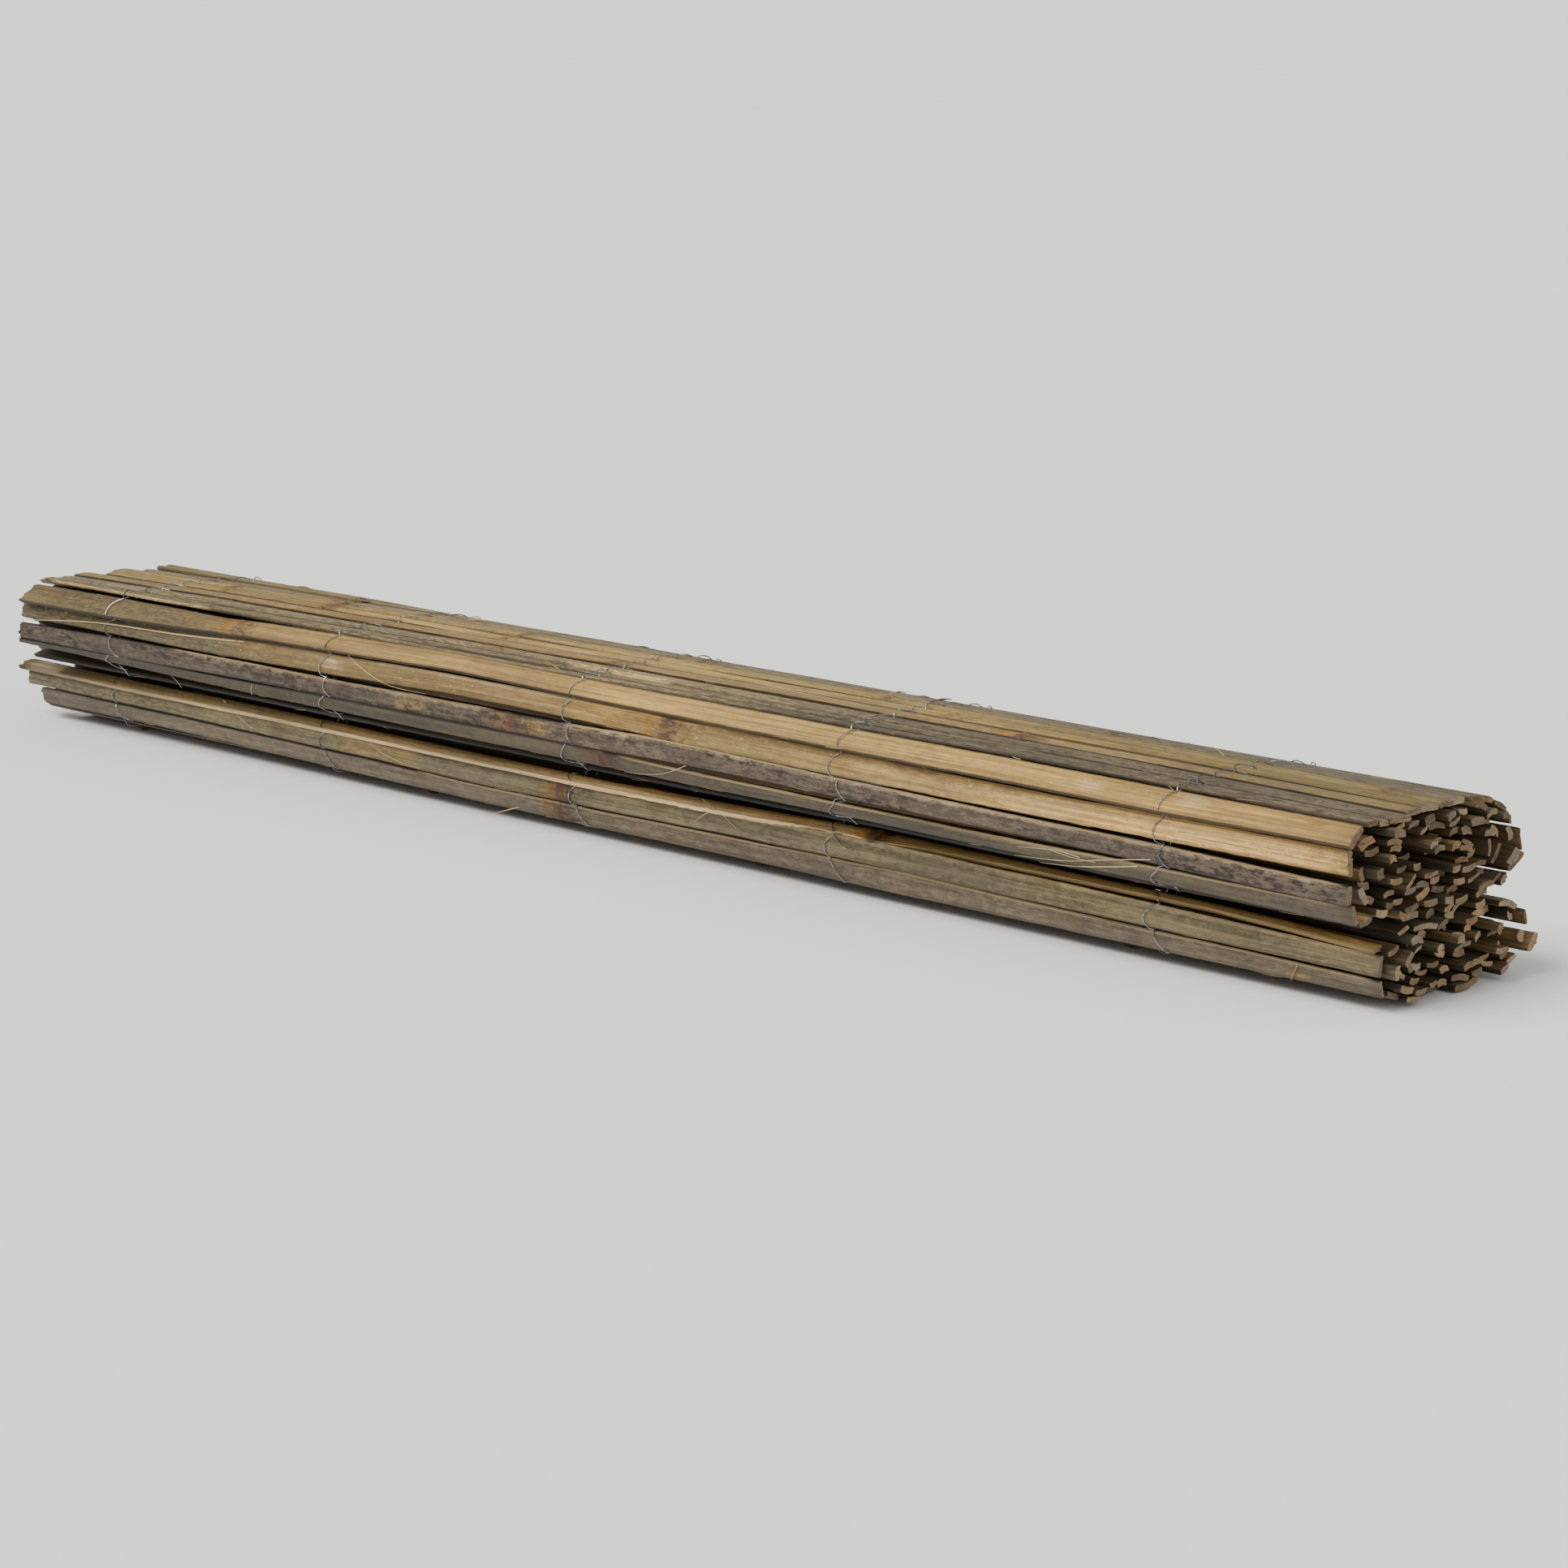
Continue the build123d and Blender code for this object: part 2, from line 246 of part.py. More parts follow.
# ---- binding wire -------------------------------------------------------
# Middle lines of the two strands of a row, as y, z. Each passes over one slat
# and under the next.
STRAND_A = [
    (12.186, 24.481), (25.436, 25.179), (26.869, 22.042), (37.007, 21.707), (37.101, 23.036),
    (37.151, 24.235), (37.264, 25.328), (46.013, 24.890), (46.537, 21.195), (43.757, 20.699),
    (34.299, 18.747), (33.805, 16.598), (26.071, 15.963), (25.102, 20.323), (14.681, 20.435),
    (13.296, 15.167), (4.315, 16.244), (3.292, 19.653), (-6.063, 18.595), (-7.688, 15.941),
    (-15.442, 15.630), (-16.930, 18.703), (-23.409, 24.202), (-21.376, 26.563), (-9.760, 28.418),
    (-8.519, 24.077), (0.304, 24.201), (1.110, 29.653), (10.150, 29.266), (10.672, 25.974),
    (21.629, 25.584), (22.391, 30.225), (33.238, 30.535), (34.889, 26.242), (45.793, 25.854),
    (46.915, 28.035), (49.527, 29.670), (56.683, 21.717), (54.833, 19.034), (53.649, 19.233),
    (51.300, 19.870), (44.751, 16.242), (44.679, 12.937), (34.350, 10.905), (32.450, 15.833),
    (23.616, 15.205), (22.723, 11.730), (13.172, 10.623), (11.878, 14.725), (2.565, 14.978),
    (0.481, 11.422), (-10.844, 11.808), (-11.394, 14.616), (-21.093, 15.205), (-23.819, 11.893),
    (-32.122, 17.970), (-31.805, 21.064), (-22.543, 26.790), (-21.015, 30.963), (-10.476, 32.485),
    (-8.123, 28.589), (-0.046, 30.038), (1.773, 34.035), (13.046, 34.070), (13.819, 30.570),
    (24.853, 30.875), (25.844, 36.114), (39.027, 35.318), (39.942, 30.877), (49.304, 30.396),
    (51.901, 33.628), (62.304, 27.959), (61.252, 25.023), (60.171, 24.501), (58.536, 23.771),
    (57.266, 16.521), (58.070, 13.137), (48.903, 8.394), (46.207, 10.770), (36.639, 10.715),
    (34.738, 6.791), (24.453, 7.158), (23.871, 9.749), (11.431, 10.046), (9.514, 5.995),
    (-0.021, 6.875), (-1.593, 10.482), (-9.319, 9.754), (-10.504, 6.299), (-22.305, 7.230),
    (-22.740, 10.783), (-32.478, 14.940), (-36.829, 14.593), (-38.708, 23.613), (-35.603, 24.992),
    (-27.469, 29.002), (-28.345, 34.354), (-20.074, 36.123), (-18.195, 32.334), (-4.636, 33.645),
    (-4.094, 37.965), (4.079, 39.411), (5.528, 34.636), (15.244, 35.156), (15.956, 39.336),
    (26.216, 40.452), (28.324, 36.568), (37.665, 37.140), (38.987, 41.081), (49.732, 39.216),
    (49.868, 35.886), (61.318, 30.464), (65.831, 31.862), (67.861, 24.162), (64.077, 22.617),
    (60.384, 12.440), (63.209, 9.600), (62.233, 7.970), (54.873, 5.098), (52.818, 8.635),
    (44.590, 6.246), (44.395, 3.555), (34.239, 1.730), (32.196, 6.250), (24.177, 5.109),
    (22.625, 0.881), (11.217, 0.839), (10.104, 5.381), (-1.982, 5.647), (-2.725, 2.521),
    (-12.971, 1.448), (-13.987, 4.460), (-25.918, 6.015), (-27.471, 3.562), (-35.469, 6.261),
    (-37.574, 6.977), (-39.960, 15.606), (-43.845, 16.612), (-43.202, 25.714), (-42.410, 28.190),
    (-32.576, 31.158), (-32.627, 36.156), (-25.922, 39.801), (-23.479, 35.970), (-11.277, 38.854),
    (-10.423, 41.430), (0.065, 43.278), (2.028, 39.800), (11.445, 40.782), (13.147, 44.027),
    (23.935, 44.990), (24.902, 41.686), (35.220, 41.474), (35.327, 45.441), (45.734, 46.131),
    (47.397, 43.213), (56.462, 46.102), (54.944, 50.953), (62.130, 58.408), (64.213, 58.996),
    (65.625, 68.823), (61.191, 69.286), (56.403, 77.252), (56.051, 79.402), (48.163, 84.048),
    (45.910, 82.043), (36.079, 84.590), (35.567, 88.151), (25.922, 90.342), (23.532, 86.379),
    (13.221, 86.685), (12.307, 91.159), (0.683, 89.445), (-0.179, 86.758), (-9.846, 86.938),
    (-11.469, 91.064), (-24.063, 89.017), (-24.848, 86.549), (-35.757, 85.496), (-36.788, 88.841),
    (-45.921, 88.136), (-46.809, 86.659), (-55.376, 87.769), (-57.926, 89.654), (-68.162, 81.735),
    (-65.438, 78.914), (-61.442, 76.289), (-63.843, 65.946), (-68.158, 64.665), (-67.739, 52.505),
    (-63.136, 51.897), (-58.866, 43.153), (-57.426, 41.431), (-48.230, 43.653), (-47.805, 46.104),
    (-46.151, 49.167), (-35.362, 44.991), (-34.696, 42.882), (-25.168, 42.657), (-24.416, 45.474),
    (-13.533, 47.164), (-11.987, 43.444), (-3.402, 43.310), (-2.723, 47.856), (5.753, 48.607),
    (6.725, 48.227), (6.800, 45.428), (7.517, 45.179), (16.062, 44.886), (17.220, 48.441),
    (24.945, 49.183), (26.150, 45.669), (37.393, 46.149), (38.630, 47.165), (38.092, 49.913),
    (38.800, 50.713), (49.160, 54.424), (52.284, 52.424), (59.545, 59.930), (57.582, 62.346),
    (54.359, 63.915), (54.813, 72.378), (55.329, 75.173), (45.499, 80.026), (43.401, 78.124),
    (33.824, 78.234), (32.904, 84.124), (22.161, 85.806), (20.951, 81.834), (11.264, 81.581),
    (9.040, 86.093), (-0.859, 85.808), (-1.935, 81.659), (-12.988, 81.909), (-13.982, 85.707),
    (-24.903, 84.715), (-26.609, 82.381), (-34.035, 80.761), (-35.579, 84.940), (-45.937, 83.981),
    (-46.028, 78.972), (-55.624, 74.558), (-60.073, 75.586), (-62.986, 66.961), (-58.952, 65.012),
    (-53.348, 55.078), (-52.475, 50.496), (-41.762, 49.329), (-40.391, 51.300), (-32.634, 51.518),
    (-31.622, 47.868), (-20.282, 46.767), (-17.636, 51.256), (-5.922, 53.089), (-4.083, 48.641),
    (6.301, 49.219), (6.857, 53.334), (18.107, 53.842), (19.286, 49.205), (29.472, 50.502),
    (30.677, 53.813), (39.637, 55.576), (43.403, 53.099), (52.343, 62.937), (50.473, 65.882),
    (42.831, 71.918), (43.657, 76.212), (32.582, 77.792), (30.672, 76.302), (19.586, 76.824),
    (18.786, 79.985), (6.122, 81.618), (4.655, 76.153), (-6.589, 77.428), (-8.074, 81.183),
    (-18.285, 80.076), (-19.767, 76.750), (-30.891, 77.188), (-32.088, 80.461), (-43.109, 78.775),
    (-42.885, 73.937), (-52.829, 70.758), (-55.677, 72.587), (-57.071, 70.478), (-55.952, 61.065),
    (-53.012, 61.047), (-51.223, 62.556), (-40.993, 58.177), (-40.540, 51.864), (-30.930, 52.142),
    (-29.516, 55.924), (-18.706, 55.049), (-18.014, 53.167), (-8.447, 53.309), (-7.708, 57.633),
    (-0.108, 57.608), (0.896, 56.836), (1.034, 54.040), (2.224, 53.450), (13.115, 54.559),
    (14.223, 58.460), (26.390, 58.408), (27.485, 57.858), (27.664, 55.064), (28.995, 54.733),
    (39.284, 56.103), (39.456, 60.228), (40.540, 69.995), (40.361, 72.928), (30.405, 74.737),
    (28.481, 71.518), (18.820, 71.832), (17.884, 76.106), (5.594, 77.459), (4.212, 71.997),
    (-5.784, 71.659), (-7.444, 75.865), (-18.069, 75.665), (-18.935, 72.372), (-27.264, 72.048),
    (-28.904, 76.503), (-36.917, 75.429), (-37.947, 70.460), (-43.836, 68.767), (-47.290, 70.704),
    (-50.836, 69.458), (-49.426, 62.562), (-45.785, 62.780), (-44.191, 64.129), (-34.662, 62.220),
    (-34.588, 59.258), (-33.949, 56.053), (-21.611, 57.370), (-20.895, 60.958), (-10.854, 60.682),
    (-8.973, 58.167), (2.878, 58.717), (3.570, 61.894), (14.579, 63.311), (15.278, 60.026),
    (24.999, 59.011), (26.022, 62.611), (35.911, 63.324), (37.126, 67.371), (27.449, 70.365),
    (23.728, 67.680), (12.980, 68.128), (12.205, 68.414), (12.086, 71.212), (10.962, 72.268),
    (2.561, 71.197), (2.094, 67.678), (-8.563, 67.112), (-9.525, 72.092), (-21.028, 71.318),
    (-21.743, 67.288), (-33.396, 67.487), (-33.622, 63.386), (-24.294, 63.199), (-23.714, 66.690),
    (-13.262, 65.372), (-11.313, 61.570), (-0.781, 62.768), (0.254, 65.820), (12.128, 67.161),
    (14.690, 64.115), (25.173, 63.219),
]
STRAND_B = [
    (12.374, 20.913), (25.624, 21.610), (26.988, 25.639), (37.126, 25.304), (37.151, 24.235),
    (37.101, 23.036), (37.108, 22.212), (45.697, 21.782), (44.860, 16.984), (35.079, 14.966),
    (33.494, 20.385), (25.760, 19.751), (25.057, 16.146), (14.636, 16.259), (13.781, 19.209),
    (4.800, 20.286), (3.646, 16.523), (-5.709, 15.465), (-7.841, 19.754), (-15.595, 19.444),
    (-19.066, 15.676), (-25.919, 21.492), (-24.669, 24.528), (-19.851, 23.228), (-9.203, 24.928),
    (-8.574, 27.962), (0.249, 28.087), (0.937, 25.600), (9.976, 25.213), (10.803, 29.661),
    (21.761, 29.271), (22.509, 26.107), (33.356, 26.417), (35.037, 30.379), (45.940, 29.990),
    (46.692, 26.904), (53.634, 19.189), (53.599, 16.050), (46.911, 12.345), (44.047, 16.148),
    (33.875, 14.147), (32.691, 12.440), (23.858, 11.812), (22.279, 15.561), (12.728, 14.454),
    (11.784, 11.280), (2.471, 11.533), (0.591, 14.629), (-10.735, 15.015), (-11.631, 10.728),
    (-21.329, 11.317), (-21.853, 14.867), (-29.890, 20.749), (-32.781, 21.045), (-33.972, 24.267),
    (-24.438, 30.160), (-20.349, 27.469), (-9.156, 29.086), (-8.772, 32.205), (-0.695, 33.654),
    (1.785, 30.214), (13.058, 30.249), (13.710, 34.492), (24.744, 34.797), (25.571, 31.602),
    (38.755, 30.806), (40.174, 35.391), (49.536, 34.910), (50.001, 30.141), (60.263, 24.548),
    (62.192, 23.130), (60.864, 15.556), (56.163, 16.474), (47.138, 11.805), (46.386, 7.483),
    (36.658, 7.427), (34.862, 10.250), (24.576, 10.617), (23.774, 5.685), (11.334, 5.983),
    (9.879, 9.950), (0.344, 10.830), (-1.297, 7.336), (-9.022, 6.608), (-10.223, 9.860),
    (-22.024, 10.791), (-24.380, 6.941), (-34.265, 11.160), (-33.306, 15.490), (-35.153, 24.354),
    (-38.097, 25.903), (-37.142, 28.114), (-29.009, 32.124), (-27.286, 30.214), (-19.181, 31.948),
    (-18.557, 36.081), (-4.998, 37.392), (-3.350, 33.757), (4.824, 35.203), (5.302, 38.853),
    (15.019, 39.372), (16.351, 35.706), (26.611, 36.822), (28.086, 40.455), (37.427, 41.027),
    (38.348, 37.403), (49.093, 35.538), (51.541, 39.419), (63.135, 33.928), (62.521, 30.648),
    (64.467, 23.267), (68.162, 21.135), (64.469, 10.958), (60.917, 11.341), (53.557, 8.470),
    (53.924, 4.826), (45.696, 2.437), (43.805, 6.840), (33.648, 5.014), (32.773, 2.198),
    (24.754, 1.057), (22.609, 5.125), (11.201, 5.083), (10.016, 1.400), (-2.070, 1.666),
    (-3.135, 6.436), (-13.381, 5.364), (-14.425, 1.099), (-26.356, 2.654), (-26.277, 7.098),
    (-34.427, 9.849), (-38.294, 6.131), (-41.039, 5.852), (-43.469, 14.635), (-39.874, 16.331),
    (-39.219, 25.593), (-43.386, 28.887), (-43.755, 32.090), (-33.768, 35.105), (-31.184, 33.503),
    (-24.480, 37.148), (-24.415, 39.930), (-12.212, 42.814), (-9.737, 37.538), (0.751, 39.387),
    (1.675, 43.186), (10.932, 44.152), (12.166, 43.602), (12.435, 40.815), (13.678, 39.878),
    (24.307, 40.828), (24.973, 45.100), (35.120, 44.891), (36.008, 41.520), (45.996, 42.182),
    (46.215, 46.923), (55.118, 49.760), (57.895, 48.108), (65.192, 55.679), (63.080, 58.202),
    (60.983, 59.459), (62.348, 68.961), (63.738, 70.817), (58.780, 79.065), (54.460, 76.702),
    (46.572, 81.347), (46.833, 85.605), (37.001, 88.152), (34.698, 84.323), (25.052, 86.514),
    (23.651, 90.389), (13.340, 90.696), (12.577, 88.165), (1.120, 86.476), (-0.105, 90.725),
    (-9.772, 90.905), (-10.888, 87.491), (-23.482, 85.444), (-25.215, 90.352), (-36.124, 89.298),
    (-36.524, 85.431), (-45.827, 84.713), (-46.408, 89.753), (-55.303, 90.906), (-55.711, 86.790),
    (-65.488, 79.227), (-65.199, 76.997), (-67.564, 66.810), (-64.341, 64.796), (-63.921, 52.637),
    (-66.389, 50.308), (-62.049, 41.420), (-60.115, 40.550), (-58.074, 44.793), (-49.034, 46.978),
    (-47.634, 44.894), (-36.835, 40.714), (-34.601, 46.864), (-25.074, 46.639), (-23.877, 42.001),
    (-12.994, 43.691), (-11.925, 47.385), (-3.341, 47.251), (-2.350, 43.645), (6.285, 44.410),
    (7.494, 49.163), (16.198, 48.865), (17.551, 44.993), (25.276, 45.734), (25.988, 49.472),
    (37.391, 49.958), (39.882, 47.218), (50.393, 50.982), (49.511, 55.106), (56.661, 62.497),
    (57.819, 63.890), (58.273, 72.352), (55.404, 72.918), (53.724, 71.921), (43.893, 76.774),
    (43.775, 81.972), (34.028, 82.083), (32.265, 81.078), (21.680, 82.734), (20.870, 84.940),
    (11.183, 84.688), (9.149, 82.294), (-0.750, 82.009), (-1.833, 86.178), (-12.886, 86.428),
    (-13.655, 82.107), (-24.576, 81.114), (-27.152, 85.619), (-34.734, 83.965), (-35.174, 80.564),
    (-45.532, 79.606), (-47.917, 83.078), (-57.658, 78.597), (-56.594, 74.243), (-59.404, 65.920),
    (-62.333, 63.289), (-56.572, 53.076), (-51.827, 54.972), (-41.272, 53.822), (-40.952, 49.937),
    (-40.288, 47.618), (-32.531, 47.836), (-31.268, 51.522), (-20.087, 50.436), (-17.003, 47.209),
    (-5.289, 49.042), (-4.298, 52.511), (6.085, 53.090), (7.020, 49.738), (18.270, 50.246),
    (18.817, 52.885), (28.845, 54.161), (29.901, 53.614), (30.348, 50.850), (31.508, 50.424),
    (40.310, 52.156), (40.442, 56.006), (49.167, 65.608), (51.144, 65.856), (53.176, 69.046),
    (45.408, 75.182), (42.932, 73.467), (32.183, 75.001), (31.038, 80.673), (19.793, 81.203),
    (18.367, 76.737), (5.871, 78.348), (5.077, 79.880), (-6.166, 81.155), (-7.661, 77.378),
    (-17.872, 76.270), (-19.627, 80.309), (-30.750, 80.748), (-31.529, 76.811), (-42.550, 75.125),
    (-44.116, 77.789), (-54.060, 74.610), (-53.590, 70.891), (-52.491, 61.637), (-52.851, 58.753),
    (-43.522, 54.760), (-40.479, 55.307), (-31.030, 55.581), (-29.837, 51.952), (-18.858, 51.062),
    (-18.069, 56.869), (-8.502, 57.010), (-7.721, 53.717), (0.039, 53.692), (1.706, 56.959),
    (12.756, 58.084), (14.206, 54.578), (26.533, 54.526), (28.383, 58.122), (38.671, 59.492),
    (42.832, 59.692), (43.952, 69.778), (41.455, 70.698), (40.493, 69.981), (39.639, 68.952),
    (29.682, 70.761), (28.622, 75.838), (18.961, 76.152), (17.449, 72.147), (5.158, 73.499),
    (3.919, 75.617), (-5.906, 75.285), (-7.384, 72.719), (-18.010, 72.519), (-19.082, 76.175),
    (-27.412, 75.852), (-28.401, 72.749), (-36.413, 71.675), (-39.063, 74.342), (-44.952, 72.649),
    (-46.458, 70.352), (-45.081, 63.614), (-44.912, 60.532), (-35.382, 58.623), (-34.208, 59.984),
    (-22.029, 61.285), (-20.981, 57.825), (-11.100, 57.554), (-9.957, 58.015), (-9.984, 60.814),
    (-8.955, 61.225), (2.737, 61.768), (4.101, 57.768), (14.694, 59.132), (15.635, 63.451),
    (25.357, 62.436), (26.282, 59.005), (36.012, 59.706), (39.185, 63.417), (36.801, 63.690),
    (35.919, 64.584), (26.709, 67.433), (24.012, 70.656), (12.945, 71.117), (11.692, 67.805),
    (3.132, 66.713), (1.900, 71.335), (-8.757, 70.769), (-9.230, 67.710), (-20.733, 66.936),
    (-21.674, 71.317), (-33.157, 71.512), (-33.806, 66.710), (-24.058, 66.515), (-24.053, 62.646),
    (-13.770, 61.348), (-11.783, 65.705), (-1.251, 66.903), (0.655, 62.270), (12.370, 63.593),
    (14.976, 67.455), (25.459, 66.558),
]
# Numbers of the points before the slant starts and before it ends.
SLANT_A = (143, 153)
SLANT_B = (141, 153)

# ---- groups of slats that share a node ---------------------------------
GROUPS = {
    "lower_roll_core_slats": range(0, 10),
    "lower_roll_turn_3_slats": range(10, 25),
    "lower_roll_turn_2_slats": range(25, 43),
    "lower_roll_turn_1_top_slats": range(43, 50),
    "middle_layer_slats": range(67, 73),
    "upper_roll_turn_1_bottom_slats": range(92, 100),
    "upper_roll_turn_2_top_slats": range(100, 114),
    "upper_roll_turn_2_bottom_slats": range(114, 123),
    "upper_roll_turn_3_top_slats": range(123, 134),
    "upper_roll_turn_3_bottom_slats": range(134, 142),
    "upper_roll_turn_4_top_slats": range(142, 152),
    "upper_roll_turn_4_bottom_slats": range(152, 159),
    "upper_roll_core_slats": range(159, 170),
}
for k in range(50, 67):
    GROUPS["lower_roll_outer_slat_%02d" % (k - 49)] = [k]
for k in range(73, 92):
    GROUPS["upper_roll_outer_slat_%02d" % (k - 72)] = [k]


def prism(points, along):
    """A solid from a closed flat outline, moved along a vector."""
    outline = Wire.make_polygon([Vector(*p) for p in points], close=True)
    return Solid.extrude(Face(outline), Vector(*along))


def slat(k):
    y, z, turn, width, thick, left, right, skin = SLATS[k]
    a = math.radians(turn)
    uy, uz = math.cos(a), math.sin(a)
    x0 = -SLAT_LENGTH / 2 + left
    x1 = SLAT_LENGTH / 2 + right
    w, t, c, d = width / 2, thick / 2, EDGE_CHAMFER, SKIN_DROP

    def at(x, s, h):
        # s across the slat, h from its middle towards the skin
        h = h * skin
        return (x, y + s * uy - h * uz, z + s * uz + h * uy)

    section = [
        (-w, -t + c), (-w + c, -t), (w - c, -t), (w, -t + c),
        (w, t - d), (w - 0.9, t - 0.4 * d), (0.5 * w, t),
        (-0.5 * w, t), (-w + 0.9, t - 0.4 * d), (-w, t - d),
    ]
    body = prism([at(x0, s, h) for s, h in section], (x1 - x0, 0, 0))
    outside = -1 if k >= 73 else 1
    for x in KNUCKLES.get(k, []):
        half, crest = KNUCKLE_LENGTH / 2, KNUCKLE_CREST / 2
        if k in CARRYING:
            reach = w * abs(uy) - 1.2
            foot = [(x - half, z), (x - crest, FLOOR_Z), (x + crest, FLOOR_Z), (x + half, z)]
            ridge = prism([(px, y - reach, pz) for px, pz in foot], (0, 2 * reach, 0))
        else:
            side = outside * skin
            base, top = t - 1.3, t + KNUCKLE_RISE
            profile = [(x - half, base), (x - crest, top), (x + crest, top), (x + half, base)]
            reach = w - 0.8
            span = (0, 2 * reach * uy, 2 * reach * uz)
            ridge = prism([at(px, -reach, side * ph) for px, ph in profile], span)
        body = body.fuse(ridge).clean()
        if isinstance(body, (list, ShapeList)):
            body = body[0]
    return body.solids()[0]


def ribbon(line, size, start=None, stop=None):
    """The outline of a bent strip of even width along a line of points.

    An end that has a y in start or stop is cut in that plane.
    """
    half = size / 2
    sides = ([], [])
    count = len(line)
    for i in range(count):
        py, pz = line[i]
        ends = []
        for j in (i - 1, i):
            if 0 <= j < count - 1:
                dy, dz = line[j + 1][0] - line[j][0], line[j + 1][1] - line[j][1]
                n = math.hypot(dy, dz)
                ends.append((dy / n, dz / n))
        if len(ends) == 1:
            ends = ends * 2
        (ay, az), (by, bz) = ends
        cross, dot = ay * bz - az * by, ay * by + az * bz
        for side, out in ((1, sides[0]), (-1, sides[1])):
            p = (py - side * az * half, pz + side * ay * half)
            q = (py - side * bz * half, pz + side * by * half)
            if abs(cross) < 1e-6:
                out.append(p)
            elif cross * side > 0:
                # inside of the bend: where both edges meet
                k = half * math.tan(0.5 * math.atan2(abs(cross), dot))
                out.append((p[0] - ay * k, p[1] - az * k))
            else:
                # outside of the bend: a broken corner
                out.extend((p, q))
    for y, end, inner in ((start, 0, 1), (stop, -1, -2)):
        if y is not None:
            for out in sides:
                (py, pz), (qy, qz) = out[end], out[inner]
                out[end] = (y, pz + (qz - pz) * (y - py) / (qy - py))
    return sides[0] + sides[1][::-1]


def strand(line, x, slant):
    """One strand: in one plane round each roll, slanting where it passes between them."""
    i, j = slant

    def at(n, y):
        (py, pz), (qy, qz) = line[n], line[n + 1]
        return (y, pz + (qz - pz) * (y - py) / (qy - py))

    a, b = at(i, SLANT_FROM), at(j, SLANT_TO)
    stretches = [
        (line[:i + 1] + [a], None, SLANT_FROM),
        ([a] + line[i + 1:j + 1] + [b], SLANT_FROM, SLANT_TO),
        ([b] + line[j + 1:], SLANT_TO, None),
    ]
    whole = None
    for n, (points, start, stop) in enumerate(stretches):
        outline = []
        for y, z in ribbon(points, WIRE_SIZE, start, stop):
            share = (1.0, (SLANT_TO - y) / (SLANT_TO - SLANT_FROM), 0.0)[n]
            outline.append((x + share * LOWER_ROW_SHIFT - WIRE_SIZE / 2, y, z))
        piece = prism(outline, (WIRE_SIZE, 0, 0))
        whole = piece if whole is None else whole.fuse(piece)
        if isinstance(whole, (list, ShapeList)):
            whole = whole[0]
    return whole.solids()[0]


os.makedirs("parts", exist_ok=True)
for name in sorted(GROUPS):
    solids = [slat(k) for k in GROUPS[name]]
    shape = solids[0] if len(solids) == 1 else Compound(children=solids)
    export_step(shape, "parts/%s.step" % name, write_pcurves=False)
for row in range(WIRE_ROWS):
    x = (row - (WIRE_ROWS - 1) / 2) * WIRE_ROW_PITCH
    for letter, line, side, slant in (("a", STRAND_A, -1, SLANT_A), ("b", STRAND_B, 1, SLANT_B)):
        wire = strand(line, x + side * STRAND_PITCH / 2, slant)
        export_step(wire, "parts/wire_row_%d_strand_%s.step" % (row + 1, letter), write_pcurves=False)
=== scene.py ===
import bpy
import math
import numpy as np
from mathutils import Matrix


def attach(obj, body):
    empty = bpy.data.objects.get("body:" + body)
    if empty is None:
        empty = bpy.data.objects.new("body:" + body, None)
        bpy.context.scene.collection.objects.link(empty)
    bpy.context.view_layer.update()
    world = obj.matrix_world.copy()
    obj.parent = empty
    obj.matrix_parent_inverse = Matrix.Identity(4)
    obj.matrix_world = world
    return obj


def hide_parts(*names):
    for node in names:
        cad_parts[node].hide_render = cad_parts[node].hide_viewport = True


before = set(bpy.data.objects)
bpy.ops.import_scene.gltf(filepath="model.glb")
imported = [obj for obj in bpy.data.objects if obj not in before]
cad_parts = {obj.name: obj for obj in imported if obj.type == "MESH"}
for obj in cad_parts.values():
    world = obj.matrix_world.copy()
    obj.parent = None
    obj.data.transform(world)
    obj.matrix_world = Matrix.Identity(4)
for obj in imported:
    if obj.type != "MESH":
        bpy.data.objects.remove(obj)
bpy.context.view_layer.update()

# Rolled split-bamboo screen: the look of the slats, their torn ends, knuckles
# and splinters, and the twisted galvanized wire. Tables are in millimetres.

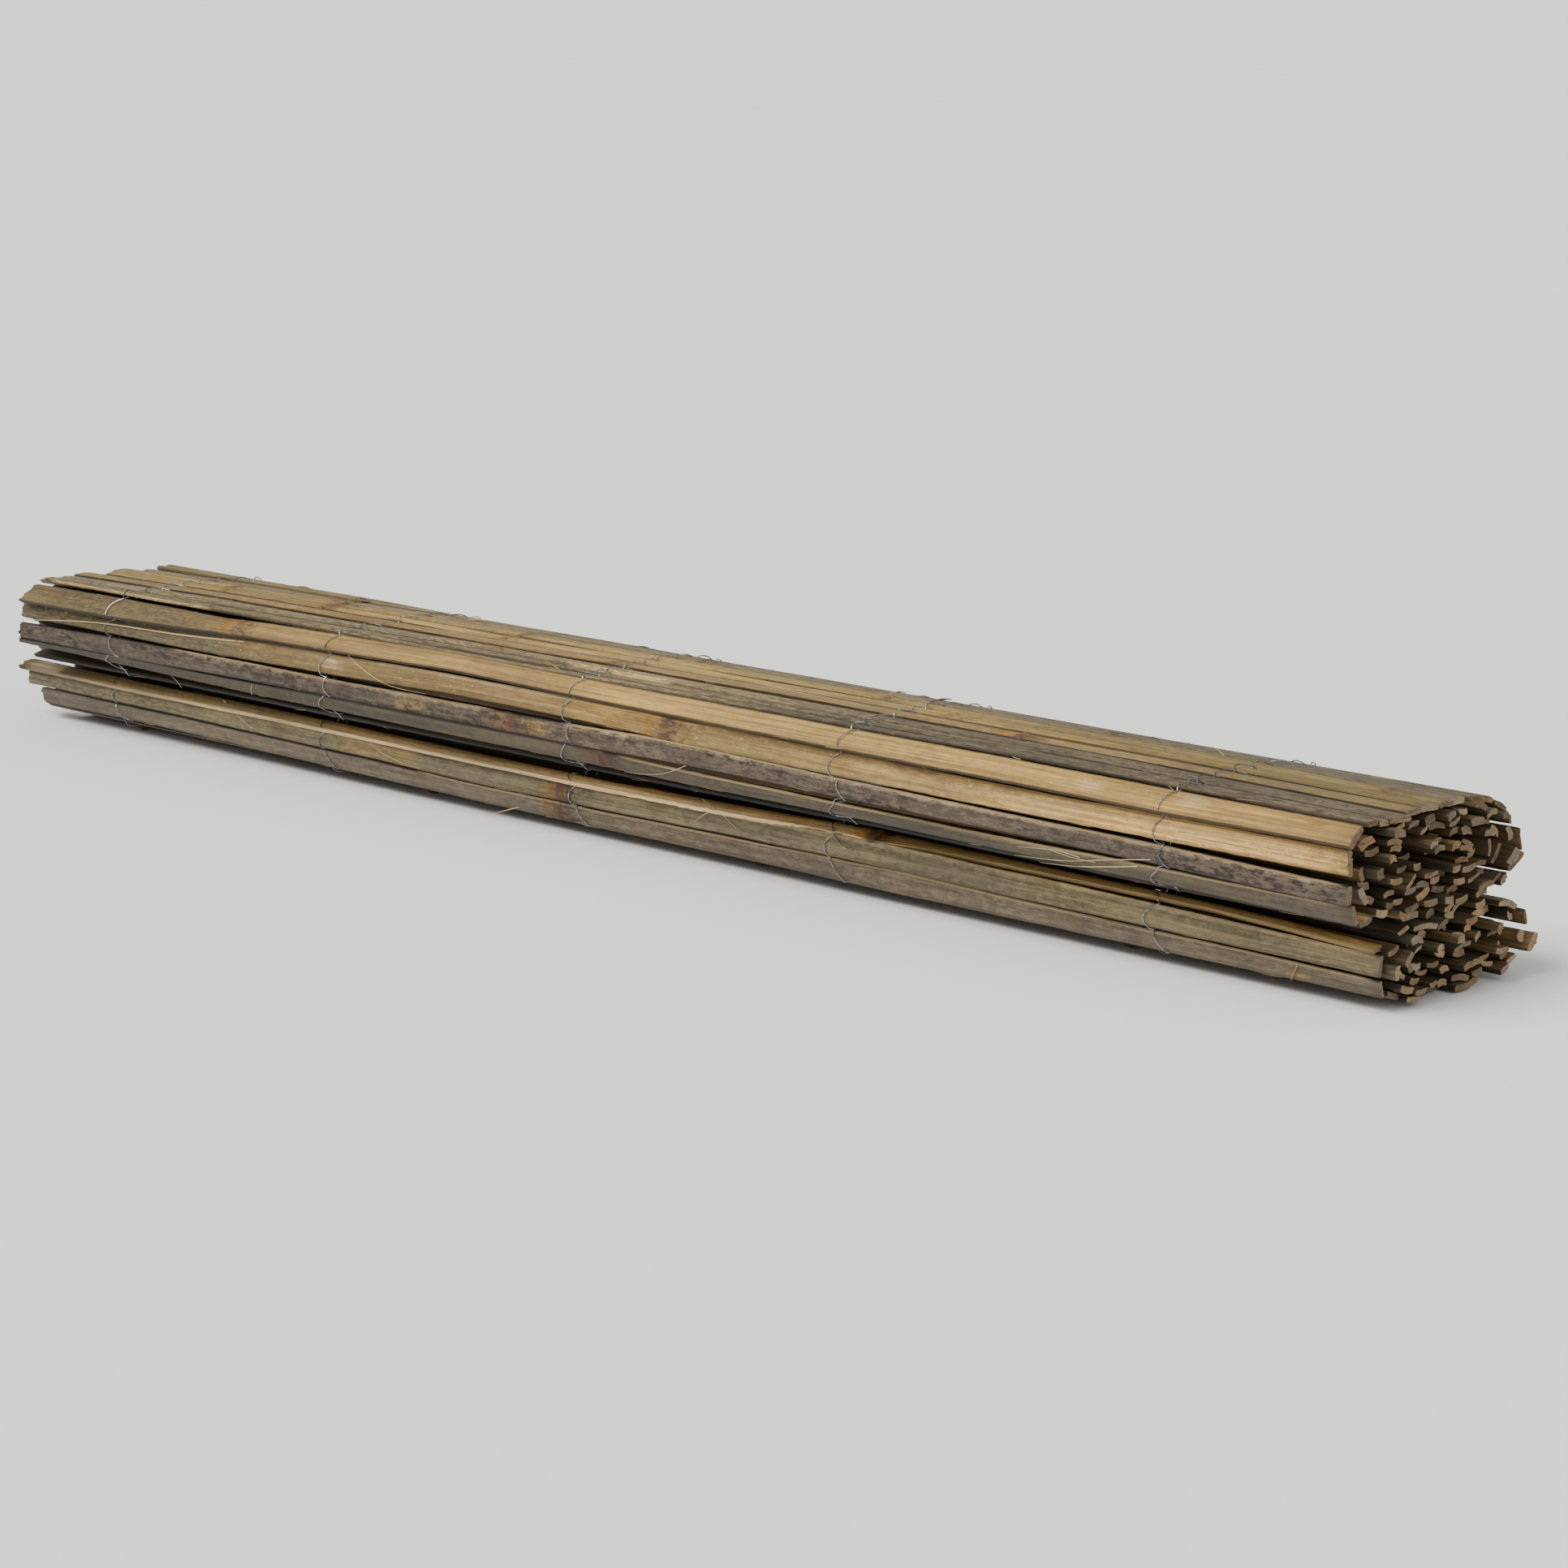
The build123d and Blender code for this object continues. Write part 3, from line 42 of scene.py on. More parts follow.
SLATS = [
    (19.015, 23.052, 3.013, 12.49, 2.95, -1.9, 2.2, 1),
    (31.997, 23.673, -1.895, 9.58, 2.98, -3.2, -2.3, 1),
    (41.560, 23.551, -2.865, 8.20, 2.50, -0.6, 2.2, 1),
    (39.496, 17.849, -168.342, 9.26, 3.24, 1.0, 3.2, 1),
    (29.782, 18.174, -175.312, 7.20, 3.18, 2.7, -5.5, 1),
    (19.869, 18.291, 179.383, 9.86, 3.56, 0.3, -1.3, 1),
    (9.048, 17.726, 173.160, 8.49, 3.45, -1.3, -0.9, 1),
    (-1.208, 17.559, -173.547, 8.85, 2.53, -1.9, 1.6, 1),
    (-11.642, 17.692, -177.708, 7.20, 3.20, 1.8, -0.3, 1),
    (-21.363, 20.045, 139.681, 8.26, 3.07, 3.9, -0.6, -1),
    (-14.885, 25.810, 9.071, 10.38, 2.91, 0.7, -0.1, 1),
    (-4.135, 26.082, 0.807, 8.26, 3.27, -3.0, 4.4, 1),
    (5.543, 27.433, -2.453, 8.49, 3.44, -2.3, 5.2, 1),
    (16.216, 27.622, -2.041, 10.40, 3.07, 3.8, -1.3, 1),
    (27.873, 28.321, 1.638, 10.29, 3.50, 0.5, -2.2, 1),
    (40.415, 28.116, -2.042, 10.35, 3.52, -4.2, 5.5, 1),
    (51.634, 24.370, -48.020, 10.14, 3.34, -0.2, -2.4, 1),
    (49.175, 16.146, -151.011, 7.09, 3.84, -2.8, -1.4, 1),
    (39.198, 13.526, -168.867, 9.97, 2.65, -1.5, 0.1, 1),
    (28.154, 13.823, -175.931, 8.30, 2.78, -1.2, 1.2, -1),
    (17.726, 13.092, -173.386, 9.05, 3.24, -1.7, 2.5, -1),
    (7.175, 13.129, 178.439, 8.76, 2.83, 1.3, 0.9, -1),
    (-5.127, 13.219, 178.047, 10.77, 2.59, -0.2, -2.1, 1),
    (-16.362, 12.966, 176.519, 9.16, 3.28, -1.4, 1.2, 1),
    (-26.988, 16.418, 143.799, 9.56, 2.94, 1.0, 0.6, 1),
    (-28.190, 25.570, 31.721, 10.65, 3.24, 2.0, 4.5, 1),
    (-15.492, 29.966, 8.221, 10.09, 2.93, -3.9, -0.0, 1),
    (-4.409, 31.122, 10.170, 7.65, 3.05, -0.6, -3.2, 1),
    (7.415, 32.142, 0.180, 10.71, 3.20, -2.4, -2.5, 1),
    (19.281, 32.684, 1.585, 10.48, 3.30, -0.4, 3.5, -1),
    (32.299, 33.460, -3.455, 12.65, 3.90, -3.1, -1.3, 1),
    (44.739, 32.894, -2.943, 8.81, 3.90, 0.0, -5.1, 1),
    (56.152, 29.050, -28.589, 11.29, 3.35, -0.1, -1.4, -1),
    (59.715, 19.747, -99.942, 6.96, 3.09, -0.7, 0.0, -1),
    (52.604, 12.471, -152.645, 9.76, 3.22, -2.5, 2.9, 1),
    (41.512, 9.099, -179.666, 9.17, 2.67, -1.0, -2.4, 1),
    (29.657, 8.704, 177.956, 9.73, 2.84, -2.6, 1.6, 1),
    (17.603, 7.866, 178.632, 11.88, 3.44, -3.3, 1.9, -1),
    (4.929, 8.413, 174.726, 9.01, 3.35, 0.5, -1.7, -1),
    (-5.308, 8.545, -174.614, 7.20, 2.54, -2.7, -0.5, 1),
    (-16.264, 8.545, 175.490, 11.28, 2.95, 2.8, 4.2, 1),
    (-28.503, 10.971, 156.886, 10.19, 3.56, 1.7, 4.1, 1),
    (-35.991, 19.473, 101.768, 8.65, 3.01, -4.8, 2.1, 1),
    (-32.378, 28.522, 26.245, 8.67, 2.86, 0.7, 0.8, -1),
    (-23.680, 33.169, 12.076, 7.73, 3.65, -2.6, 2.7, 1),
    (-11.596, 34.863, 5.522, 13.06, 3.15, 0.1, -0.3, 1),
    (0.365, 36.584, 10.032, 7.74, 3.65, 0.1, -0.2, 1),
    (10.273, 37.004, 3.061, 9.17, 3.60, -4.8, -2.1, 1),
    (21.284, 38.079, 6.209, 9.76, 3.03, -0.6, 0.0, 1),
    (32.876, 38.798, 3.504, 8.80, 3.27, -0.6, -0.2, -1),
    (44.040, 38.309, -9.849, 10.35, 3.11, 2.3, 5.5, 1),
    (56.502, 34.907, -25.340, 12.27, 3.29, -2.8, -0.5, 1),
    (65.171, 27.482, -75.235, 7.23, 2.89, 1.8, 2.0, 1),
    (64.273, 16.787, -109.944, 10.27, 3.73, -2.6, 7.0, 1),
    (57.970, 8.249, -158.685, 7.50, 3.00, -0.8, -0.4, 1),
    (49.257, 5.536, -163.811, 8.01, 3.35, -2.0, 2.8, 1),
    (39.022, 4.285, -169.812, 9.76, 2.72, 3.5, -5.2, 1),
    (28.475, 3.653, -171.900, 7.54, 3.47, 1.4, 0.2, -1),
    (16.913, 2.982, -179.787, 10.85, 3.62, 5.5, 2.1, 1),
    (4.017, 3.523, 178.738, 11.53, 3.36, 1.5, -5.5, -1),
    (-8.053, 3.942, -174.024, 9.74, 3.32, 2.0, -2.8, 1),
    (-20.172, 3.557, 172.574, 11.47, 2.77, 2.0, 2.5, 1),
    (-30.949, 6.705, 161.352, 8.04, 3.11, -1.5, -0.6, 1),
    (-40.500, 10.729, 105.461, 8.55, 3.02, 0.0, 0.5, 1),
    (-41.532, 21.102, 85.956, 8.72, 3.36, 2.0, 0.0, 1),
    (-38.165, 31.624, 16.798, 9.87, 3.50, -4.0, -0.5, 1),
    (-28.553, 36.652, 28.530, 7.07, 2.40, 0.5, 1.7, -1),
    (-17.846, 39.392, 13.299, 11.98, 3.45, -0.1, 1.1, 1),
    (-4.836, 40.408, 9.996, 10.09, 3.33, 1.5, -0.7, 1),
    (6.560, 41.984, 5.956, 8.91, 2.78, -0.9, -1.6, -1),
    (18.727, 42.427, 5.103, 10.27, 3.56, -0.4, -0.1, -1),
    (30.011, 43.289, -1.179, 9.59, 2.79, 0.6, 3.2, 1),
    (40.871, 43.825, 3.791, 9.45, 3.34, 0.2, 0.8, 1),
    (51.258, 46.487, 17.674, 8.78, 3.27, -2.1, 1.5, 1),
    (60.068, 53.316, 46.054, 9.95, 3.48, 2.1, 4.0, -1),
    (63.292, 64.057, 81.825, 9.20, 2.64, -3.1, 3.0, 1),
    (60.030, 74.103, 121.009, 8.89, 2.35, -2.9, -1.7, -1),
    (51.312, 80.375, 149.505, 8.59, 2.51, -3.1, 1.6, -1),
    (41.456, 85.098, 165.476, 9.60, 3.06, 2.3, 0.2, -1),
    (30.310, 87.332, 167.201, 9.33, 3.31, -0.9, -2.2, -1),
    (18.436, 88.537, 178.298, 9.76, 3.39, -2.3, -3.9, -1),
    (6.630, 88.805, -171.611, 11.02, 2.38, -2.7, 0.3, -1),
    (-4.976, 88.832, 178.934, 9.11, 3.35, 1.0, -0.8, -1),
    (-17.476, 88.254, -170.766, 12.20, 3.00, -2.5, -0.8, -1),
    (-30.486, 87.924, -174.483, 10.40, 3.20, -3.1, 2.5, -1),
    (-41.222, 86.784, -175.585, 8.60, 2.80, -7.0, 0.7, -1),
    (-50.971, 88.771, 172.615, 8.24, 2.50, -2.9, 0.7, -1),
    (-61.770, 84.391, -142.275, 11.96, 3.00, -2.0, 0.5, -1),
    (-64.503, 71.549, -103.069, 10.06, 3.20, 1.0, -1.0, -1),
    (-66.040, 58.651, -88.025, 11.61, 3.20, 0.0, 0.0, -1),
    (-62.593, 46.659, -63.970, 9.33, 3.00, -0.1, 1.5, -1),
    (-53.230, 44.204, 13.588, 8.90, 2.80, 3.2, -0.8, -1),
    (-41.572, 44.971, -21.160, 11.01, 3.90, -1.2, -0.1, -1),
    (-29.885, 44.760, -1.354, 8.97, 3.36, -3.0, 1.2, -1),
    (-18.705, 44.583, 8.828, 10.45, 2.89, -4.4, -0.7, -1),
    (-7.664, 45.347, -0.895, 8.03, 3.32, -0.5, 1.3, -1),
    (1.781, 46.133, 5.062, 8.11, 3.61, -0.8, 2.8, -1),
    (11.778, 47.025, -1.963, 8.15, 3.36, 0.6, -1.9, 1),
    (21.248, 47.088, 5.483, 7.20, 2.84, -1.1, -4.2, -1),
    (31.771, 47.814, 2.441, 10.85, 3.19, -1.1, 2.9, 1),
    (44.521, 50.821, 19.706, 10.60, 3.04, -1.7, 0.0, 1),
    (54.528, 57.518, 45.951, 9.88, 3.24, -1.2, 1.7, -1),
    (56.316, 68.134, 86.929, 8.07, 2.84, 0.4, -3.2, -1),
    (49.611, 75.973, 153.725, 10.40, 3.01, -0.9, 4.2, -1),
    (38.715, 80.104, 179.344, 9.18, 3.23, 0.2, 1.8, -1),
    (27.292, 83.429, 171.104, 10.31, 2.49, 4.6, -0.3, -1),
    (16.067, 83.261, -178.508, 9.13, 2.49, 1.1, -0.8, 1),
    (4.145, 84.051, -178.353, 9.34, 3.18, -3.8, 0.3, -1),
    (-7.410, 84.044, 178.704, 10.50, 3.90, 4.2, -0.4, -1),
    (-19.279, 83.411, -174.808, 10.41, 3.00, 0.8, -0.7, -1),
    (-30.593, 83.190, -167.693, 7.20, 2.66, -2.3, -2.7, 1),
    (-40.555, 82.273, -174.715, 9.84, 3.77, 2.2, 3.0, -1),
    (-51.843, 78.784, -155.297, 10.16, 3.90, 0.0, -0.1, -1),
    (-59.764, 70.677, -108.658, 8.54, 3.11, -1.5, -4.0, 1),
    (-57.801, 59.114, -60.570, 11.17, 3.17, -1.5, 0.2, -1),
    (-46.874, 52.159, -6.217, 10.22, 3.90, -2.4, -5.5, 1),
    (-36.461, 49.568, 1.610, 7.20, 3.06, 0.1, 1.3, -1),
    (-25.775, 49.144, -5.546, 10.83, 3.05, 2.6, -0.8, -1),
    (-11.462, 50.149, 8.895, 11.30, 3.48, -0.8, -0.7, -1),
    (1.001, 50.865, 3.189, 9.84, 3.26, 1.0, 0.2, -1),
    (12.564, 51.790, 2.589, 10.70, 2.98, 4.5, -2.3, -1),
    (24.145, 51.693, 7.256, 9.71, 3.09, -2.9, 2.0, -1),
    (35.494, 52.984, 11.134, 8.57, 2.87, 0.6, -1.7, 1),
    (46.339, 59.413, 47.738, 12.73, 3.53, -0.7, -2.2, -1),
    (48.003, 70.482, 141.697, 9.34, 3.54, -2.5, -2.1, -1),
    (37.836, 75.618, 171.878, 10.46, 2.20, -2.5, 0.4, -1),
    (25.312, 78.748, 177.302, 10.70, 3.76, -0.0, 1.8, -1),
    (12.328, 79.166, 172.653, 12.04, 2.66, 1.0, -1.4, 1),
    (-0.756, 78.654, 173.532, 10.76, 3.13, -1.3, -3.6, -1),
    (-12.973, 78.727, -173.808, 9.71, 3.21, 0.1, 2.5, 1),
    (-25.259, 78.749, 177.741, 10.57, 2.94, 1.7, -2.6, -1),
    (-37.319, 77.793, -171.301, 10.59, 3.07, 0.7, 2.9, -1),
    (-48.473, 74.274, -162.271, 9.88, 3.42, 2.1, -0.1, 1),
    (-54.781, 66.058, -83.225, 9.08, 2.88, 1.1, -1.7, -1),
    (-47.299, 58.627, -23.175, 9.75, 3.52, 1.2, -1.5, -1),
    (-35.785, 53.723, 1.659, 9.05, 2.82, 4.4, 1.1, 1),
    (-24.272, 53.500, -4.631, 10.28, 3.37, 1.5, 2.1, -1),
    (-13.258, 55.089, 0.847, 9.01, 3.08, 0.3, -0.5, 1),
    (-3.834, 55.663, -0.188, 7.20, 3.30, 1.7, 2.3, -1),
    (7.411, 55.759, 5.811, 10.55, 2.92, -2.2, 5.0, 1),
    (20.378, 56.493, -0.244, 11.77, 3.26, -0.8, -0.5, -1),
    (33.833, 57.112, 7.581, 9.98, 2.82, 1.9, -2.8, 1),
    (41.695, 64.923, 83.667, 9.59, 2.80, 1.5, -2.5, -1),
    (35.022, 71.845, 169.704, 9.56, 3.42, 3.7, -3.3, -1),
    (23.721, 73.835, 178.135, 9.11, 3.70, 0.0, -1.5, -1),
    (11.521, 74.803, 173.720, 11.80, 3.36, -3.5, -1.7, -1),
    (-0.932, 73.638, -178.066, 9.27, 3.01, 4.7, -3.2, -1),
    (-12.727, 74.192, -178.921, 10.07, 2.53, 2.6, 1.3, -1),
    (-23.173, 74.112, -177.776, 7.78, 3.19, -2.5, -5.5, -1),
    (-32.659, 74.089, -172.363, 7.52, 3.17, 3.3, -3.2, -1),
    (-41.526, 71.532, -163.963, 5.73, 3.42, 0.1, 4.8, -1),
    (-47.942, 66.457, -78.448, 6.48, 3.85, -4.4, 2.5, -1),
    (-39.787, 61.376, -11.330, 9.16, 3.05, -1.0, 1.3, -1),
    (-27.989, 58.669, 6.096, 11.85, 3.32, -1.2, 1.1, -1),
    (-15.917, 59.254, -1.573, 9.48, 2.51, 3.8, 4.3, -1),
    (-3.118, 59.968, 2.657, 11.30, 2.43, -1.9, 1.3, -1),
    (9.132, 60.513, 7.336, 10.12, 3.54, -0.6, 0.2, -1),
    (20.317, 61.231, -5.958, 9.21, 2.82, -0.7, -3.0, 1),
    (31.097, 61.164, 4.125, 9.36, 3.00, -0.9, -0.2, -1),
    (31.760, 67.451, 162.811, 9.40, 2.40, -2.2, -1.8, -1),
    (18.416, 69.395, 177.611, 10.52, 2.36, 0.5, -1.7, 1),
    (7.126, 69.501, -172.733, 8.07, 3.90, 2.6, -1.7, -1),
    (-3.332, 69.224, -176.962, 10.11, 3.04, 1.5, -0.1, -1),
    (-15.129, 69.514, -176.151, 10.97, 3.77, -2.2, -0.8, -1),
    (-27.450, 69.400, 179.023, 10.93, 3.41, -2.8, 2.1, -1),
    (-28.840, 64.951, -1.146, 8.60, 2.70, 0.3, -3.2, -1),
    (-18.658, 64.009, -7.190, 9.81, 3.44, -1.7, -0.4, -1),
    (-6.282, 64.237, 6.487, 10.04, 3.54, -1.5, 4.5, -1),
    (6.391, 64.716, 6.444, 11.39, 2.95, -4.0, 0.1, -1),
    (19.965, 65.346, -4.887, 9.74, 2.73, 4.7, 2.9, 1),
]
KNUCKLES = {
    50: [-291, -12, 251],
    51: [-259, -14, 269],
    52: [-443, -119, 189, 466],
    53: [-468, -184, 53, 331],
    54: [-447, -147, 122, 350],
    55: [-265, 52, 287],
    56: [-320, -12, 312],
    57: [-461, -128, 150, 428],
    58: [-412, -120, 149, 461],
    59: [-388, -80, 248],
    60: [-379, -120, 118, 348],
    61: [-436, -167, 93, 341],
    62: [-270, 26, 344],
    63: [-331, -40, 220],
    64: [-310, -38, 214],
    65: [-414, -107, 190, 465],
    66: [-266, -52, 300],
    73: [-312, -11, 234],
    74: [-368, -126, 127, 412],
    75: [-419, -85, 233],
    76: [-237, 84, 334],
    77: [-288, 20, 267],
    78: [-359, -62, 148],
    79: [-292, -17, 158, 308],
    80: [-296, 11, 295],
    81: [-376, -117, 158, 468],
    82: [-369, -118, 212],
    83: [-283, -19, 270],
    84: [-344, -49, 221],
    85: [-293, -45, 188, 435],
    86: [-189, 119, 434],
    87: [-338, -44, 245],
    88: [-287, 66, 388],
    89: [-465, -146, 93, 375],
    90: [-237, 20, 282],
    91: [-211, 81, 373],
}
CARRYING = [56, 57, 58, 59, 60, 61]
# y, z and turn by which the free ends leave the table above, near end and far end
NEAR = [
    (-0.72, -1.79, 12.5),
    (-0.22, -0.22, 14.5),
    (1.02, -0.50, 8.1),
    (-0.50, -1.31, -15.2),
    (0.67, 0.87, -2.9),
    (0.27, -1.32, -3.2),
    (-0.86, 0.84, -17.0),
    (0.18, -2.16, -5.1),
    (-0.05, -1.44, -11.1),
    (-0.57, -1.04, -18.3),
    (-0.60, -0.39, 1.1),
    (-0.06, -1.13, -0.5),
    (0.37, 0.15, -7.6),
    (-0.82, -1.17, -11.8),
    (-0.88, -0.76, -6.0),
    (-1.16, -0.58, -4.3),
    (-0.03, -0.87, -4.5),
    (-0.94, -0.96, -0.6),
    (-1.01, -1.53, -4.9),
    (0.20, -1.60, 4.3),
    (1.03, -0.35, 3.5),
    (-1.80, -0.36, 3.9),
    (-1.02, -0.78, -6.2),
    (0.04, -2.37, -6.7),
    (-0.21, -0.83, 4.8),
    (0.87, -1.66, -2.2),
    (0.62, -1.30, 0.2),
    (-0.30, -1.36, -27.4),
    (0.54, -0.43, -27.5),
    (2.19, -0.02, 3.7),
    (0.76, 0.06, 3.9),
    (-0.55, -0.66, 15.3),
    (1.22, -0.96, 7.9),
    (0.17, -0.62, 2.4),
    (0.55, -0.93, 0.2),
    (-0.11, -0.68, -13.3),
    (0.09, -1.38, 9.7),
    (0.84, -1.45, -5.6),
    (-1.08, -1.72, 5.4),
    (0.87, -0.92, 2.2),
    (-0.87, -1.65, 2.9),
    (0.47, -1.29, 8.2),
    (-1.14, -0.05, -5.4),
    (-1.08, -0.89, -4.3),
    (-0.01, -1.00, -9.4),
    (-0.05, 0.60, -4.1),
    (-0.47, -1.73, 18.3),
    (-1.34, -0.26, -4.7),
    (-0.32, -0.36, 13.0),
    (-0.42, -0.93, 8.7),
    (-0.16, -0.73, 1.3),
    (0.04, -0.69, 1.3),
    (0.02, -0.17, -1.7),
    (0.11, -0.95, 0.6),
    (0.39, -0.52, 2.6),
    (-0.21, -0.40, -1.1),
    (0.00, -0.74, -0.1),
    (-0.14, -0.82, -1.1),
    (-0.03, -0.68, -0.8),
    (-0.07, -0.54, -1.7),
    (0.42, -0.87, 2.7),
    (0.00, 0.00, 0.0),
    (0.00, 0.00, 0.0),
    (0.00, 0.00, 0.0),
    (0.00, 0.00, 0.0),
    (0.00, 0.00, 0.0),
    (0.20, -0.50, 0.9),
    (0.44, 1.04, -3.9),
    (0.56, -0.48, -2.5),
    (0.62, -1.35, 7.7),
    (-0.27, -0.50, 5.7),
    (0.57, 0.79, 10.3),
    (0.01, -1.91, 2.3),
    (0.44, -0.35, -0.8),
    (-0.24, -0.29, -0.3),
    (0.01, -1.01, 1.8),
    (-0.09, -0.71, 2.4),
    (0.00, 0.00, 0.0),
    (0.00, 0.00, 0.0),
    (0.00, 0.00, 0.0),
    (0.00, 0.00, 0.0),
    (0.00, 0.00, 0.0),
    (0.00, 0.00, 0.0),
    (0.00, 0.00, 0.0),
    (0.00, 0.00, 0.0),
    (0.00, 0.00, 0.0),
    (0.00, 0.00, 0.0),
    (0.00, 0.00, 0.0),
    (0.00, 0.00, 0.0),
    (0.00, 0.00, 0.0),
    (0.00, 0.00, 0.0),
    (0.49, -0.72, -0.0),
    (-0.96, 1.17, 10.8),
    (-0.88, -1.12, -17.3),
    (0.03, -0.17, 3.4),
    (0.93, -0.25, 7.7),
    (-0.79, -0.22, -7.9),
    (0.22, 1.09, 9.0),
    (-0.05, -1.19, -2.4),
    (-0.88, 0.10, 8.2),
    (-0.49, -2.49, 5.8),
    (-0.52, -0.60, 2.5),
    (1.07, -1.51, 22.1),
    (0.60, 0.12, 9.2),
    (-0.63, -0.77, 14.4),
    (1.46, 0.59, -11.3),
    (0.77, -0.30, -7.1),
    (1.02, -0.73, 9.2),
    (-0.14, -0.91, 8.5),
    (0.01, -0.67, -0.6),
    (2.50, -0.77, 8.6),
    (1.15, 0.51, -11.2),
    (-0.17, 0.45, 2.4),
    (-0.87, -0.77, -8.8),
    (0.77, -2.76, 3.7),
    (-1.04, 0.35, -5.3),
    (-0.11, -0.94, -12.5),
    (-0.34, -1.09, 0.6),
    (0.75, -0.36, 19.5),
    (-0.24, -1.13, -10.8),
    (-0.06, 0.25, -4.8),
    (0.31, -0.02, 11.7),
    (-0.20, -1.16, -5.1),
    (-0.64, -0.01, 19.5),
    (0.09, -1.41, 2.4),
    (-1.46, -0.50, 1.0),
    (-0.31, -0.92, 3.9),
    (-0.30, -0.28, 18.8),
    (0.27, 0.27, 7.2),
    (0.89, 0.14, 2.0),
    (0.73, -0.90, 2.8),
    (-0.02, 0.07, -16.2),
    (-0.32, 0.16, -8.6),
    (0.94, -1.08, 16.3),
    (-1.49, 0.24, 10.4),
    (0.02, 0.04, 5.6),
    (-0.96, 0.48, 8.8),
    (0.57, -0.54, -5.5),
    (-0.28, -0.67, 4.1),
    (-0.14, -0.51, -8.0),
    (-1.00, 0.40, 4.0),
    (-0.04, -0.53, -7.9),
    (0.08, -2.72, -2.4),
    (0.47, -0.90, 5.0),
    (-0.26, -0.54, -3.6),
    (-0.87, 0.10, 7.3),
    (-0.63, -1.39, 5.0),
    (-0.78, -0.46, 4.0),
    (0.67, -1.14, 14.6),
    (-1.39, 0.13, -14.9),
    (-0.92, 0.21, -12.0),
    (-0.05, -1.23, 6.8),
    (-0.58, -0.18, 10.3),
    (0.56, -0.30, 20.7),
    (0.90, 0.84, 8.1),
    (-0.22, -1.47, 8.5),
    (-0.95, -1.85, -9.7),
    (-0.58, -1.12, 8.5),
    (-1.16, -0.29, 6.8),
    (-2.38, -1.62, -11.2),
    (1.81, 0.33, -9.9),
    (0.45, 0.02, -0.4),
    (1.60, -0.14, 3.2),
    (0.07, -1.71, -32.4),
    (-0.07, -1.26, 0.8),
    (-0.64, -1.24, 2.5),
    (-0.09, -0.46, 1.5),
    (0.78, -1.79, 2.9),
    (-0.13, 0.86, 3.8),
    (0.04, 0.48, -11.1),
]
